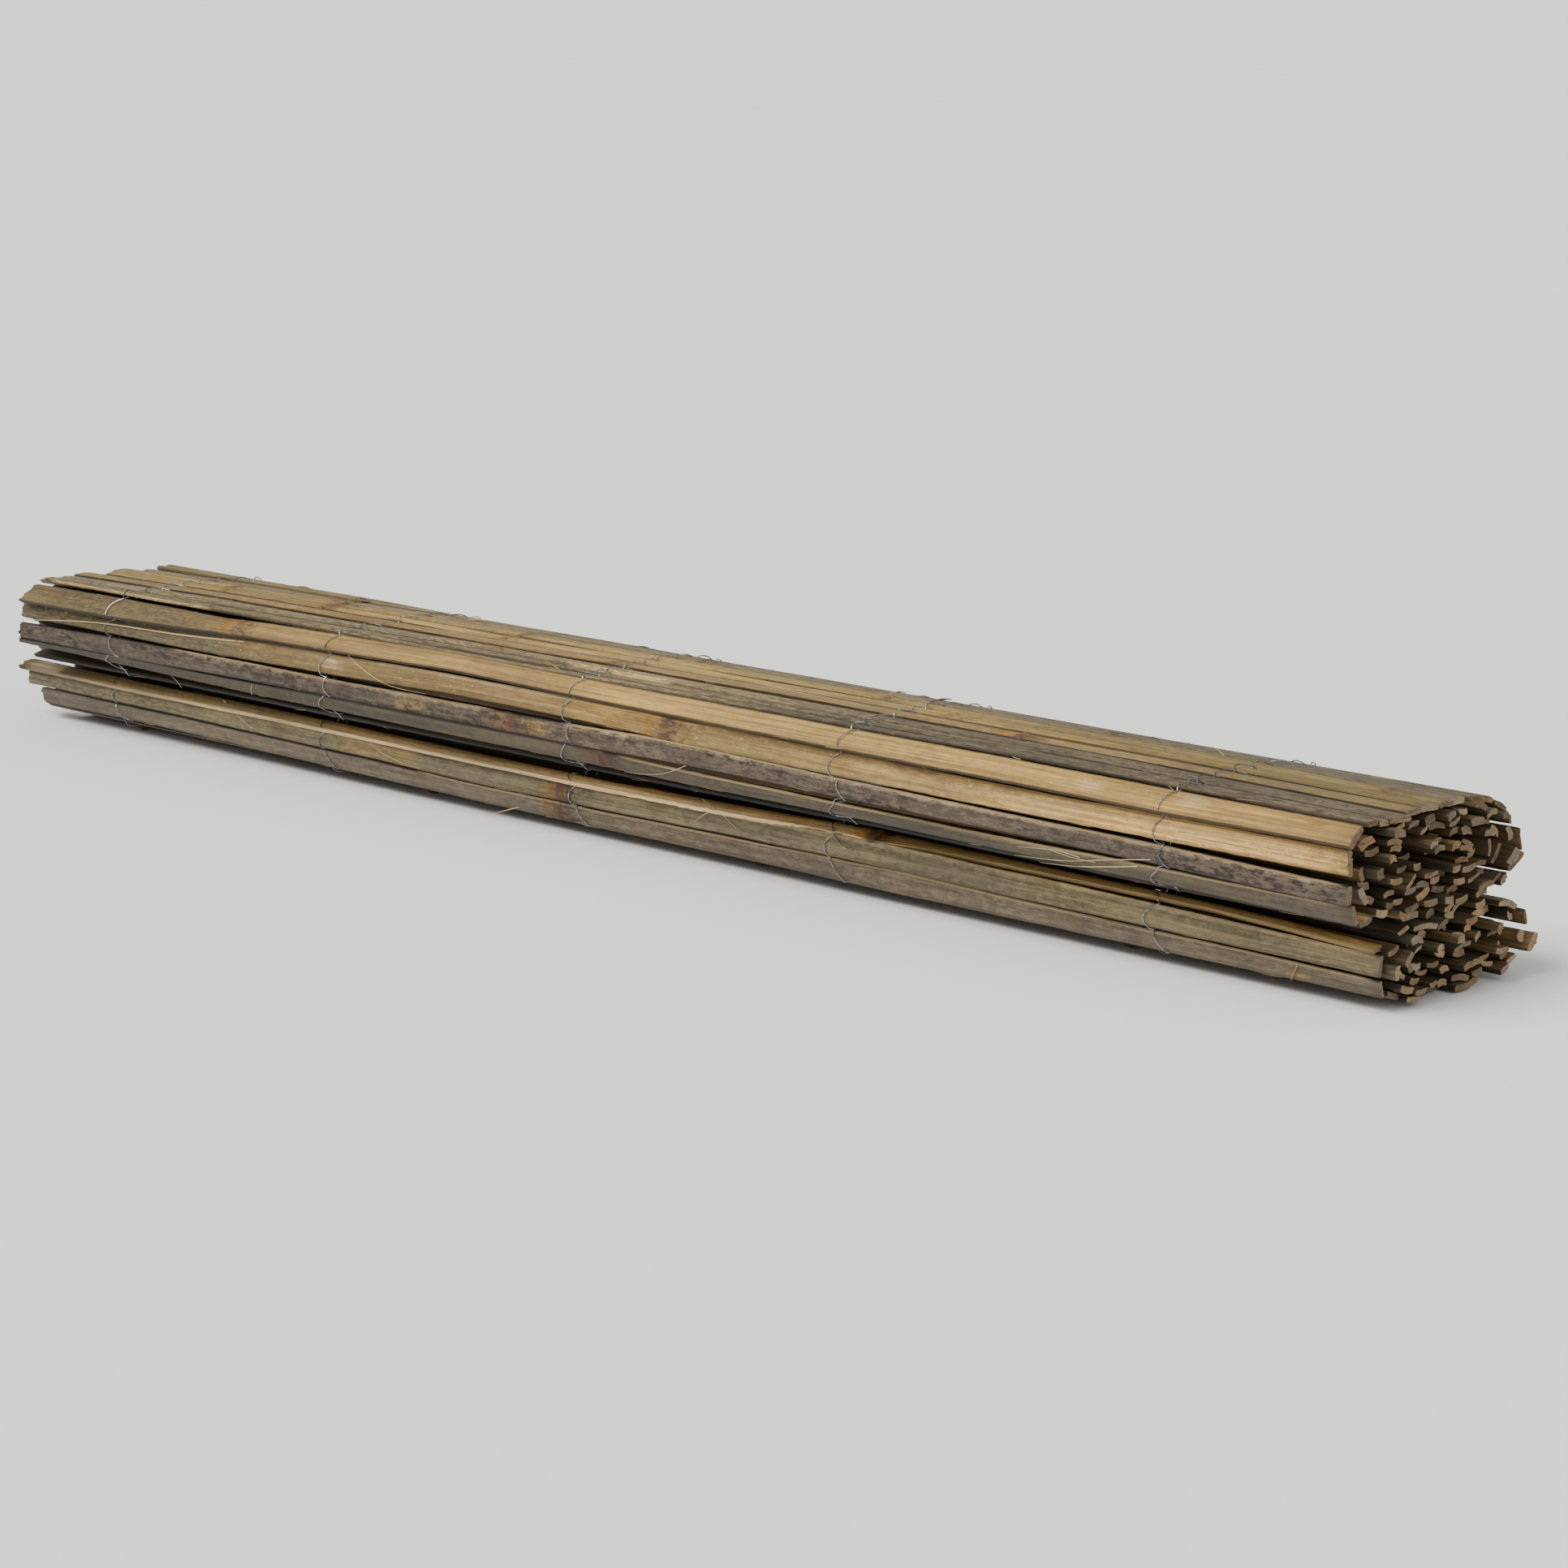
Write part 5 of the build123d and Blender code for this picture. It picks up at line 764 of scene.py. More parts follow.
# slat: tone of the side that is seen, mottling, pale flecks
SEEN = {
    50: ("olive", .35, 0), 51: ("grey_olive", .4, 0), 52: ("olive_tan", .3, 0), 53: ("tan", .25, 0),
    54: ("olive_tan", .3, 0), 55: ("grey", .45, 0), 56: ("olive_tan", .3, 0), 57: ("tan", .25, 0),
    58: ("grey_olive", .4, 0), 59: ("olive_tan", .3, 0), 60: ("grey_olive", .4, 0), 61: ("brown_grey", .4, 0),
    62: ("brown_grey", .35, 0), 63: ("brown_grey", .34, .1), 64: ("green", .34, .05), 65: ("olive_tan", .15, 0),
    66: ("shade", .2, 0),
    73: ("olive_tan", .3, 0), 74: ("grey_olive", .4, 0), 75: ("olive_tan", .35, 0), 76: ("grey_olive", .45, 0),
    77: ("grey_olive", .4, 0), 78: ("grey_olive", .35, 0), 79: ("olive", .35, 0), 80: ("grey_olive", .35, 0),
    81: ("yellow", .30, 0), 82: ("yellow", .26, 0), 83: ("tan", .26, 0), 84: ("grey_olive", .66, 0),
    85: ("grey_olive", .62, 0), 86: ("grey_olive", .70, 0), 87: ("warm", .16, .14), 88: ("olive_tan", .26, .55),
    89: ("purple", .95, .08), 90: ("grey_olive", .3, .05), 91: ("shade", .3, 0),
}
INNER_TONES = ["flesh", "olive_tan", "brown_grey", "tan", "olive", "olive", "flesh", "grey_olive"]

# ---------------------------------------------------------------- helpers


def smooth(t):
    t = np.clip(t, 0.0, 1.0)
    return t * t * (3 - 2 * t)


def wander(rng, x, step, amp):
    """A smooth random curve over x, with knots a step apart."""
    value = rng.normal(0, 1, int(1400 / step) + 4)
    p = (np.asarray(x, float) + 690) / step
    i = np.floor(p).astype(int)
    f = p - i
    f = f * f * (3 - 2 * f)
    return amp * (value[i] * (1 - f) + value[i + 1] * f)


def outside(k):
    return -1 if k >= 73 else 1


def profile(skin, flesh):
    """Points round a slat: across -1..1, height -1..1, and 0 skin, 1 split edge, 2 flesh."""
    pts = [(s, 1.0, 0) for s in np.linspace(-0.84, 0.84, skin)]
    pts += [(0.965, 0.60, 1), (1.0, 0.0, 1), (0.97, -0.66, 1)]
    pts += [(s, -1.0, 2) for s in np.linspace(0.84, -0.84, flesh)]
    pts += [(-0.97, -0.66, 1), (-1.0, 0.0, 1), (-0.965, 0.60, 1)]
    return np.array(pts)


def square(skin, flesh):
    """The same for the slats inside, with nearly square corners."""
    pts = [(s, 1.0, 0) for s in np.linspace(-0.90, 0.90, skin)]
    pts += [(1.0, 0.70, 1), (0.99, -0.72, 1)]
    pts += [(s, -1.0, 2) for s in np.linspace(0.92, -0.92, flesh)]
    pts += [(-0.99, -0.72, 1), (-1.0, 0.70, 1)]
    return np.array(pts)


FINE = profile(7, 5)
PLAIN = square(4, 3)


class Piece:
    """Collects faces, colours and a strip map for one object."""

    def __init__(self):
        self.v, self.tone, self.coat, self.pos = [], [], [], []
        self.q, self.qm, self.t, self.tm = [], [], [], []
        self.strips = []
        self.n = 0

    def add(self, v, tone, coat, pos):
        first = self.n
        self.v.append(v)
        self.tone.append(tone)
        self.coat.append(coat)
        self.pos.append(pos)
        self.n += len(v)
        return first

    def quads(self, faces, material, uv):
        """uv: one mm chart of the faces, corners in order, as (faces, 4, 2)."""
        self.q.append(faces)
        self.qm.append(np.full(len(faces), material))
        self.strips.append(("q", uv))

    def tris(self, faces, material, uv):
        self.t.append(faces)
        self.tm.append(np.full(len(faces), material))
        self.strips.append(("t", uv))


def packed(strips, width):
    """Shelf packing of charts; gives each chart's uv, moved into one sheet."""
    x = y = high = far = 0.0
    out = []
    for kind, uv in strips:
        lo = uv.reshape(-1, 2).min(0)
        size = uv.reshape(-1, 2).max(0) - lo
        if x + size[0] > width and x > 0:
            x, y, high = 0.0, y + high + 1.0, 0.0
        out.append((kind, uv - lo + np.array([x, y])))
        x += size[0] + 1.0
        high = max(high, size[1])
        far = max(far, x)
    return out, max(far, y + high)


def finish_piece(piece, name, materials):
    v = np.concatenate(piece.v)
    q = np.concatenate(piece.q) if piece.q else np.zeros((0, 4), int)
    t = np.concatenate(piece.t) if piece.t else np.zeros((0, 3), int)
    mesh = bpy.data.meshes.new(name)
    mesh.vertices.add(len(v))
    mesh.vertices.foreach_set("co", (v * MM).astype(np.float32).ravel())
    loops = np.concatenate([q.ravel(), t.ravel()])
    mesh.loops.add(len(loops))
    mesh.loops.foreach_set("vertex_index", loops.astype(np.int32))
    starts = np.concatenate([np.arange(len(q)) * 4, len(q) * 4 + np.arange(len(t)) * 3])
    mesh.polygons.add(len(starts))
    mesh.polygons.foreach_set("loop_start", starts.astype(np.int32))
    slots = np.concatenate((piece.qm or [np.zeros(0)]) + (piece.tm or [np.zeros(0)]))
    mesh.polygons.foreach_set("material_index", slots.astype(np.int32))
    mesh.polygons.foreach_set("use_smooth", np.ones(len(starts), bool))
    for key, kind, data in (("tone", "FLOAT_COLOR", piece.tone), ("coat", "FLOAT_COLOR", piece.coat), ("pos", "FLOAT_VECTOR", piece.pos)):
        data = np.concatenate(data)
        if key == "tone":
            data = np.column_stack([data, np.ones(len(data))])
        layer = mesh.attributes.new(key, kind, "POINT")
        layer.data.foreach_set("vector" if key == "pos" else "color", data.astype(np.float32).ravel())
    area = sum(float(np.prod(uv.reshape(-1, 2).max(0) - uv.reshape(-1, 2).min(0) + 1.0)) for _, uv in piece.strips)
    charts, side = packed(piece.strips, math.sqrt(area) * 1.02 + 2)
    uv = np.concatenate([u.reshape(-1, 2) for k, u in charts if k == "q"] + [u.reshape(-1, 2) for k, u in charts if k == "t"])
    layer = mesh.uv_layers.new(name="OFBake")
    layer.data.foreach_set("uv", (uv / side * 0.996 + 0.002).astype(np.float32).ravel())
    for m in materials:
        mesh.materials.append(m)
    mesh.update(calc_edges=True)
    mesh.validate()
    mesh.set_sharp_from_angle(angle=math.radians(48))
    obj = bpy.data.objects.new(name, mesh)
    bpy.context.scene.collection.objects.link(obj)
    return obj


# ------------------------------------------------------------------ slats


class Slat:
    """One split strip: where it runs and how its section changes along it."""

    def __init__(self, k):
        self.k = k
        y, z, turn, self.width, self.thick, left, right, self.skin = SLATS[k]
        self.rng = np.random.default_rng(4000 + k)
        dy, dz, dturn = POSE.get(k, (0.0, 0.0, 0.0))
        self.c = np.array([y + dy, z + dz])
        self.turn = turn + dturn
        self.x0, self.x1 = -500.0 + left, 500.0 + right
        self.x0 += FAR_PUSH.get(k, 0.0)
        self.x1 += NEAR_PUSH.get(k, 0.0)
        self.outer = k in OUTER
        r = self.rng
        if not self.outer:
            self.x1 += float(np.clip(r.normal(0, 2.6), -6, 5)) - SHORT.get(k, 0.0)
            self.x0 += float(np.clip(r.normal(0, 3.5), -7, 9))
        self.bows = r.normal(0, 0.32 if self.outer else 0.0, 4)
        self.slides = r.normal(0, 0.30 if self.outer else 0.0, 4)
        self.seeds = r.integers(0, 1 << 30, 8)
        self.grow = GROW.get(k, (0.0, 0.0))
        if self.outer:
            self.kn = KNUCKLES.get(k, []) + EXTRA.get(k, [])
        else:
            first = r.uniform(-470, -200)
            self.kn = [first + i * r.uniform(250, 330) for i in range(4) if first + i * 290 < 480]

    def curve(self, i, x, step, amp):
        return wander(np.random.default_rng(self.seeds[i]), x, step, amp)

    def line(self, x):
        """Centre, across and normal directions at stations x, with the turn applied."""
        x = np.atleast_1d(np.asarray(x, float))
        near = smooth((x - 398) / 105) ** 0.8 * (x > 398)
        far = smooth((-398 - x) / 105) ** 0.8 * (x < -398)
        nd, fd = np.array(NEAR[self.k]), np.array(FAR[self.k])
        turn = np.radians(self.turn + near * nd[2] + far * fd[2])
        c = self.c + near[:, None] * nd[:2] + far[:, None] * fd[:2]
        if self.outer:
            sag = LIFT.get(self.k)
            if sag:
                c = c + np.column_stack([np.interp(x, [p[0] for p in sag], [p[1] for p in sag]), np.interp(x, [p[0] for p in sag], [p[2] for p in sag])])
        u = np.column_stack([np.cos(turn), np.sin(turn)])
        n = np.column_stack([-u[:, 1], u[:, 0]])
        span = np.clip(((x + 400) // 200).astype(int), 0, 3)
        f = np.clip((x + 400 - 200 * span) / 200, 0, 1)
        hump = np.where((x > -400) & (x < 400), np.sin(np.pi * f) ** 2, 0)
        c = c + n * (hump * self.bows[span])[:, None] + u * (hump * self.slides[span])[:, None]
        return c, u, n

    def size(self, x):
        """Reach towards the slat before, reach towards the slat after, thickness."""
        x = np.atleast_1d(np.asarray(x, float))
        a = 1.0 if self.outer else 0.55
        lo, hi = self.width / 2 + self.grow[0], self.width / 2 + self.grow[1]
        edge = EDGES.get(self.k)
        if edge:
            a = 0.6
            xs = [p[0] for p in edge]
            lo, hi = np.interp(x, xs, [p[1] for p in edge]), np.interp(x, xs, [p[2] for p in edge])
        lo = lo + a * (self.curve(0, x, 150, .42) + self.curve(1, x, 31, .17))
        hi = hi + a * (self.curve(2, x, 150, .42) + self.curve(3, x, 31, .17))
        fine = self.curve(4, x, 4.2, .055)
        rag = RAGGED.get(self.k)
        if rag:
            x0, x1, edge, amp = rag
            inside = smooth((x - x0) / 15) * smooth((x1 - x) / 15)
            tear = inside * (np.abs(self.curve(5, x, 5.5, amp)) + np.abs(self.curve(6, x, 2.3, amp * .5)))
            lo = lo - (tear if edge < 0 else 0)
            hi = hi - (tear if edge > 0 else 0)
        lo, hi = lo + fine, hi + self.curve(7, x, 4.6, .055)
        full = smooth((np.abs(x) - 380) / 90)
        t = self.thick * (1 + (0.02 if self.outer else END_THICK) * full) + self.curve(6, x, 90, .10)
        lo = lo * (1 + (0 if self.outer else END_WIDE) * full)
        hi = hi * (1 + (0 if self.outer else END_WIDE) * full)
        low = 1.5 if not edge else -20.0
        return np.maximum(lo, low), np.maximum(hi, low), np.maximum(t, 1.3)

    def drop(self):
        return min(0.95, 0.22 * self.thick + 0.02 * self.width) if self.outer else min(0.55, 0.15 * self.thick)

    def stations(self):
        if self.outer:
            x = list(np.arange(self.x0 + 8, self.x1 - 8, 4.6))
            for xk in self.kn:
                x += list(np.arange(xk - 9, xk + 9.1, 0.9))
            rag = RAGGED.get(self.k)
            if rag:
                x += list(np.arange(rag[0], rag[1], 1.6))
        else:
            x = list(np.arange(self.x0 + 66, self.x1 - 66, 28.0))
            x += list(self.x1 - np.arange(8, 66, 7.0)) + list(self.x0 + np.arange(8, 66, 8.0))
        x += [self.x0, self.x0 + 1.2, self.x0 + 3, self.x0 + 5.5, self.x1 - 5.5, self.x1 - 3, self.x1 - 1.2, self.x1]
        x = np.array(sorted(x))
        x = x[(x >= self.x0) & (x <= self.x1)]
        keep = [x[0]]
        for value in x[1:]:
            if value - keep[-1] > 0.55:
                keep.append(value)
        keep[-1] = self.x1
        return np.array(keep)

    def build(self, piece):
        k, rng = self.k, self.rng
        shape = FINE if self.outer else PLAIN
        ng = len(shape)
        x = self.stations()
        nx = len(x)
        c, u, n = self.line(x)
        lo, hi, t = self.size(x)
        s, h, region = shape[:, 0], shape[:, 1], shape[:, 2].astype(int)
        across = (s[None] * (lo + hi)[:, None] + (hi - lo)[:, None]) / 2
        half = t[:, None] / 2
        up = h[None] * half
        up = up - np.where(region == 0, self.drop() * np.abs(s) ** 2.4, 0)[None]
        if not self.outer:
            # split strips keep the curve of the cane
            up = up + (rng.uniform(.10, .75) * (.4 - s ** 2))[None] * smooth((np.abs(x) - 330) / 120)[:, None]
        hollow = wander(rng, x, 60, .10)[:, None] + 0.10
        up = up + np.where(region == 2, 1 - s ** 2, 0)[None] * hollow
        # rough split edges
        up = up + np.where(region == 1, 1, 0)[None] * rng.normal(0, .05, (nx, ng))
        brown = np.zeros((nx, ng))
        ridge = np.zeros((nx, ng))
        out = outside(k) * self.skin if self.outer else 1
        faces_out = (region == (0 if out > 0 else 2))
        for i, xk in enumerate(self.kn):
            wob = rng.normal(0, .25, ng)
            dx = x[:, None] - xk + 0.9 * (s[None] ** 2) + wob[None]
            big = KNOTS.get((k, xk), 0.30 if k in FRONT else 1.0)
            bump = big * (0.50 * np.exp(-(dx / 1.5) ** 2) + 0.22 * np.exp(-(dx / 6.5) ** 2) - 0.26 * np.exp(-((dx - 3.0) / .9) ** 2))
            ridge += np.where(region == 0, 1, np.where(region == 1, .35, .55))[None] * bump
            stain = big * (0.55 * np.exp(-((dx + .6) / 2.0) ** 2) + .75 * np.exp(-((dx - 2.6) / 1.1) ** 2) + .25 * np.exp(-(dx / 9) ** 2))
            brown += np.where(region == 0, 1, .5)[None] * stain * (0.75 + .25 * rng.random((nx, ng)))
        up = up + np.sign(h)[None] * np.where(region == 1, .0, ridge)
        across = across + np.where(region == 1, np.sign(s), 0)[None] * ridge * .5
        # oblique, frayed cuts at both ends
        cut = rng.normal(0, [.16, .16, .22, .22])
        xx = np.repeat(x[:, None], ng, 1)
        for end, xe, near in ((0, self.x0, False), (1, self.x1, True)):
            w = smooth(1 - np.abs(x - xe) / 11.0)[:, None]
            slope = cut[0 + end] * across + cut[2 + end] * up
            rough = (.16 if near else .70) if self.outer else .09
            fray = rng.normal(0, rough, ng)[None] + (rng.random(ng)[None] < (.05 if near else .12)) * rng.normal(0, (.7 if near else 1.4) if self.outer else .3)
            xx = xx + w * slope + smooth(1 - np.abs(x - xe) / 4.0)[:, None] * fray
            soft = smooth(1 - np.abs(x - xe) / 1.6)[:, None] * (.05 if self.outer else .0)
            across = across * (1 - soft * .5)
            up = up * (1 - soft)
        v = np.stack([xx, c[:, :1] + across * u[:, :1] + self.skin * up * n[:, :1], c[:, 1:] + across * u[:, 1:] + self.skin * up * n[:, 1:]], -1)
        if k in CARRYING:
            # the lowest knuckles bear on the floor
            for xk in self.kn:
                foot = np.exp(-(np.abs(x - xk) / 2.7) ** 4)[:, None] * np.where(faces_out & (np.abs(s) < .72), 1, 0)[None]
                v[..., 2] = v[..., 2] * (1 - foot)
        v[..., 2] = np.maximum(v[..., 2], 0.0)
        girth = np.concatenate([[0], np.cumsum(np.linalg.norm(np.diff(np.concatenate([v[:, :, 1:], v[:, :1, 1:]], 1), axis=1), axis=2).mean(0))])
        # colours
        base = np.zeros((nx, ng, 3))
        coat = np.zeros((nx, ng, 4))
        flesh = np.array(TONE["flesh"]) * rng.uniform(.75, 1.1) * (1.0 if self.outer else .72)
        straw = np.array(TONE["straw"]) * rng.uniform(.7, 1.0)
        if self.outer:
            name, mottle, fleck = SEEN[k]
            seen = np.array(TONE[name])
        else:
            name, mottle, fleck = INNER_TONES[rng.integers(len(INNER_TONES))], rng.uniform(.1, .4), 0
            # inner slats of the lower roll are painted 1.25 times lighter: painted light against the shade the upper
            # roll casts on them
            seen = np.array(TONE[name]) * rng.uniform(.65, 1.05) * (1.25 if k < 67 else 1.05)
        warm = wander(rng, x, 120, .07)[:, None, None] * np.array([1.0, .9, .6]) + wander(rng, x, 45, .035)[:, None, None]
        base[:] = flesh
        skin_side = region == (0 if out > 0 else 2)
        base[:, skin_side] = seen
        # split edges are painted dark, painted shade for the gaps between slats, and pale only where they were split
        # afresh
        base[:, region == 1] = (EDGE_PAINTED_SHADE.get(k, 0.18) if self.outer else 0.42) * seen
        band = BAND.get(k)
        if band:
            for key, s0, s1, x0, x1, much in band:
                soft = min(12.0, (x1 - x0) / 3)
                w = np.where((s >= s0) & (s <= s1) & (region != 2), much, 0)[None] * (smooth((x - x0) / soft) * smooth((x1 - x) / soft))[:, None]
                base = base + w[..., None] * (np.array(TONE[key]) - base)
        for side in (-1, 1):
            for x0, x1, much in PALE.get((k, side), []):
                w = np.where((region == 1) & (s * side > 0), much, 0)[None] * (smooth((x - x0) / 12) * smooth((x1 - x) / 12))[:, None]
                base = base + w[..., None] * (np.array(TONE["pale"]) * rng.uniform(.85, 1.0) - base)
        base = base * (1 + warm)
        # painted light and shade along the slat, mixed with its own tone
        shade = TINT_AND_PAINTED_LIGHT.get(k)
        if shade:
            xs = [p[0] for p in shade]
            mult = np.stack([np.interp(x, xs, [p[1][i] for p in shade]) for i in range(3)], -1)
            base = base * mult[:, None]
        coat[..., 0] = np.where(skin_side, mottle, mottle * .35)[None]
        spots = MOTTLE.get(k)
        if spots:
            coat[..., 0] *= np.interp(x, [p[0] for p in spots], [p[1] for p in spots])[:, None]
        coat[..., 1] = np.where(skin_side, fleck, 0)[None]
        coat[..., 2] = np.clip(brown, 0, 1)
        # painted shade: the coat alpha darkens the last few millimetres at both ends
        dirt_and_painted_shade = smooth((np.abs(x) - 488) / 14)[:, None] * .35
        # knuckles: warm on one side, dark and spotted on the other
        for xk in self.kn:
            big = KNOTS.get((k, xk), .12 if k in FRONT else .55)
            warmth = big * np.exp(-((x - xk + 9) / 6.0) ** 2)[:, None, None]
            gloom = min(big, 1.2) * np.exp(-((x - xk - 8) / 6.5) ** 2)[:, None, None]
            base = base * (1 + warmth * np.array([.12, -.06, -.30])) * (1 - gloom * np.array([.30, .34, .30]))
            coat[..., 0] += np.where(skin_side, .35 * min(big, 1.3), 0)[None] * np.exp(-((x - xk - 9) / 9.0) ** 2)[:, None]
        # more painted shade: split edges and the edges of each face darker, and the slats inside the roll darker all
        # over, so the gaps read dark
        coat[..., 3] = np.clip(dirt_and_painted_shade + np.where(region == 1, .05, np.where(np.abs(s) > .80, .16, 0))[None] + (0 if self.outer else .22), 0, 1)
        pos = np.zeros((nx, ng, 3))
        pos[..., 0] = xx * MM
        pos[..., 1] = girth[None, :-1] * MM
        pos[..., 2] = (k * 7.31) % 97.0
        first = piece.add(v.reshape(-1, 3), base.reshape(-1, 3), coat.reshape(-1, 4), pos.reshape(-1, 3))
        i = np.arange(nx - 1)[:, None]
        j = np.arange(ng)[None]
        j2 = (j + 1) % ng
        faces = np.stack([i * ng + j, i * ng + j2, (i + 1) * ng + j2, (i + 1) * ng + j], -1)
        if self.skin > 0:
            faces = faces[..., ::-1]
        # strip map, cut into runs
        run = 1000.0 / 6
        lengths = x - x[0]
        part = np.minimum((lengths[:-1] / run).astype(int), 5)
        for p in range(6):
            m = part == p
            if not m.any():
                continue
            ii = np.nonzero(m)[0]
            ga, gb = girth[:-1], girth[1:]
            xa, xb = lengths[ii], lengths[ii + 1]
            uv = np.zeros((len(ii), ng, 4, 2))
            for corner, (xs, gs) in enumerate(((xa, ga), (xa, gb), (xb, gb), (xb, ga))):
                uv[:, :, corner, 0] = xs[:, None]
                uv[:, :, corner, 1] = gs[None]
            if self.skin > 0:
                uv = uv[:, :, ::-1]
            piece.quads((faces[ii] + first).reshape(-1, 4), 0, uv.reshape(-1, 4, 2))
        # end grain
        for ring, sign in ((0, -1), (nx - 1, 1)):
            edge = v[ring]
            mid = edge.mean(0)
            local = np.stack([across[ring], up[ring]], -1)
            inner = mid + (edge - mid) * .80
            core = mid + (edge - mid) * .40
            inner[:, 0] += rng.normal(0, .16, ng)
            core[:, 0] += rng.normal(0, .20, ng)
            end = np.concatenate([edge, inner, core, mid[None]])
            loc = np.concatenate([local, local * .80, local * .40, np.zeros((1, 2))])
            hue = np.array([1.0, 1.0, 1.0]) + rng.uniform(-1, 1) * np.array([.10, .0, -.16])
            # ends of the lower roll are painted 1.25 times lighter: painted light against the shade the upper roll
            # casts on them
            tone = np.tile(np.array(TONE["end"]) * hue * rng.uniform(.55, 1.30) * (1.25 if k < 67 else 1.0) * (0.85 + .15 * seen / seen.mean()), (len(end), 1))
            cc = np.zeros((len(end), 4))
            cc[:, 0] = np.clip((loc[:, 1] / max(t[ring], 1) + .5), 0, 1)
            cc[:, 3] = rng.uniform(0, .35)
            pp = np.column_stack([loc * MM, np.full(len(end), (k * 3.77 + sign) % 89.0)])
            f0 = piece.add(end, tone, cc, pp)
            a = np.arange(ng)
            b = (a + 1) % ng
            quads = np.concatenate([np.stack([a, b, b + ng, a + ng], -1), np.stack([a + ng, b + ng, b + 2 * ng, a + 2 * ng], -1)])
            tris = np.stack([a + 2 * ng, b + 2 * ng, np.full(ng, 3 * ng)], -1)
            if (sign > 0) != (self.skin > 0):
                quads, tris = quads[:, ::-1], tris[:, ::-1]
            piece.quads(quads + f0, 1, loc[quads])
            piece.tris(tris + f0, 1, loc[tris])

    def spot(self, x, f, lift):
        """A point over the outward face at x: f across, lift over the face."""
        c, u, n = self.line(x)
        lo, hi, t = self.size(x)
        a = (f * (lo[0] + hi[0]) + hi[0] - lo[0]) / 2
        o = outside(self.k)
        skinned = o * self.skin > 0
        h = t[0] / 2 - (self.drop() * min(abs(f), 1.3) ** 2.4 if skinned else 0) + lift
        p = c[0] + a * u[0] + o * h * n[0]
        return np.array([x, p[0], p[1]])


def tube(piece, path, radius, material, tone, coat, sides=6, seed=0.0, flat=1.0):
    """A round, closed tube along points, radius for each point."""
    path = np.asarray(path, float)
    m = len(path)
    radius = np.broadcast_to(np.asarray(radius, float), (m,))
    tan = np.gradient(path, axis=0)
    tan /= np.maximum(np.linalg.norm(tan, axis=1, keepdims=True), 1e-9)
    ref = np.array([1.0, 0, 0]) if abs(tan[0, 0]) < .8 else np.array([0, 0, 1.0])
    side = np.zeros_like(path)
    for i in range(m):
        ref = ref - tan[i] * ref.dot(tan[i])
        ref /= max(np.linalg.norm(ref), 1e-9)
        side[i] = ref
    other = np.cross(tan, side)
    ang = np.arange(sides) * 2 * np.pi / sides
    ring = path[:, None] + radius[:, None, None] * (np.cos(ang)[None, :, None] * side[:, None] + flat * np.sin(ang)[None, :, None] * other[:, None])
    length = np.concatenate([[0], np.cumsum(np.linalg.norm(np.diff(path, axis=0), axis=1))])
    v = np.concatenate([ring.reshape(-1, 3), path[:1], path[-1:]])
    pos = np.zeros((len(v), 3))
    pos[:m * sides, 0] = np.repeat(length, sides) * MM
    pos[:m * sides, 1] = np.tile(ang, m) * float(radius.mean()) * MM
    pos[-1, 0] = length[-1] * MM
    pos[:, 2] = seed
    first = piece.add(v, np.tile(tone, (len(v), 1)), np.tile(coat, (len(v), 1)), pos)
    i = np.arange(m - 1)[:, None]
    j = np.arange(sides)[None]
    j2 = (j + 1) % sides
    faces = np.stack([i * sides + j, i * sides + j2, (i + 1) * sides + j2, (i + 1) * sides + j], -1)
    wide = max(float(radius.max()) * 2 * np.pi / sides, .12)
    run = 170.0
    part = (length[:-1] / run).astype(int)
    for p in range(part.max() + 1):
        ii = np.nonzero(part == p)[0]
        if len(ii) == 0:
            continue
        uv = np.zeros((len(ii), sides, 4, 2))
        jj = np.arange(sides)
        for corner, (la, ja) in enumerate(((length[ii], jj), (length[ii], jj + 1), (length[ii + 1], jj + 1), (length[ii + 1], jj))):
            uv[:, :, corner, 0] = la[:, None]
            uv[:, :, corner, 1] = ja[None] * wide
        piece.quads((faces[ii] + first).reshape(-1, 4), material, uv.reshape(-1, 4, 2))
    for base, tip, turn in ((0, m * sides, 1), ((m - 1) * sides, m * sides + 1, -1)):
        a = np.arange(sides)
        b = (a + 1) % sides
        tri = np.stack([np.full(sides, tip), b + base, a + base], -1)[:, ::turn]
        flat_uv = np.zeros((sides, 3, 2))
        r = max(float(radius[0 if turn > 0 else -1]), .05)
        flat_uv[:, 1] = r * np.stack([np.cos(ang), np.sin(ang)], -1)
        flat_uv[:, 2] = r * np.stack([np.cos(ang[b]), np.sin(ang[b])], -1)
        piece.tris(tri + first, material, flat_uv)


def smooth_line(points, per_span):
    """A Catmull-Rom line through points; per_span new points for each span."""
    p = np.asarray(points, float)
    out = [p[:1]]
    for i in range(len(p) - 1):
        a, b, c, d = p[max(i - 1, 0)], p[i], p[i + 1], p[min(i + 2, len(p) - 1)]
        n = per_span[i] if hasattr(per_span, "__len__") else per_span
        t = (np.arange(1, n + 1) / n)[:, None]
        out.append(0.5 * (2 * b + (c - a) * t + (2 * a - 5 * b + 4 * c - d) * t ** 2 + (3 * b - a - 3 * c + d) * t ** 3))
    return np.concatenate(out)


slats = [Slat(k) for k in range(COUNT)]

# ------------------------------------------------------------------- wire


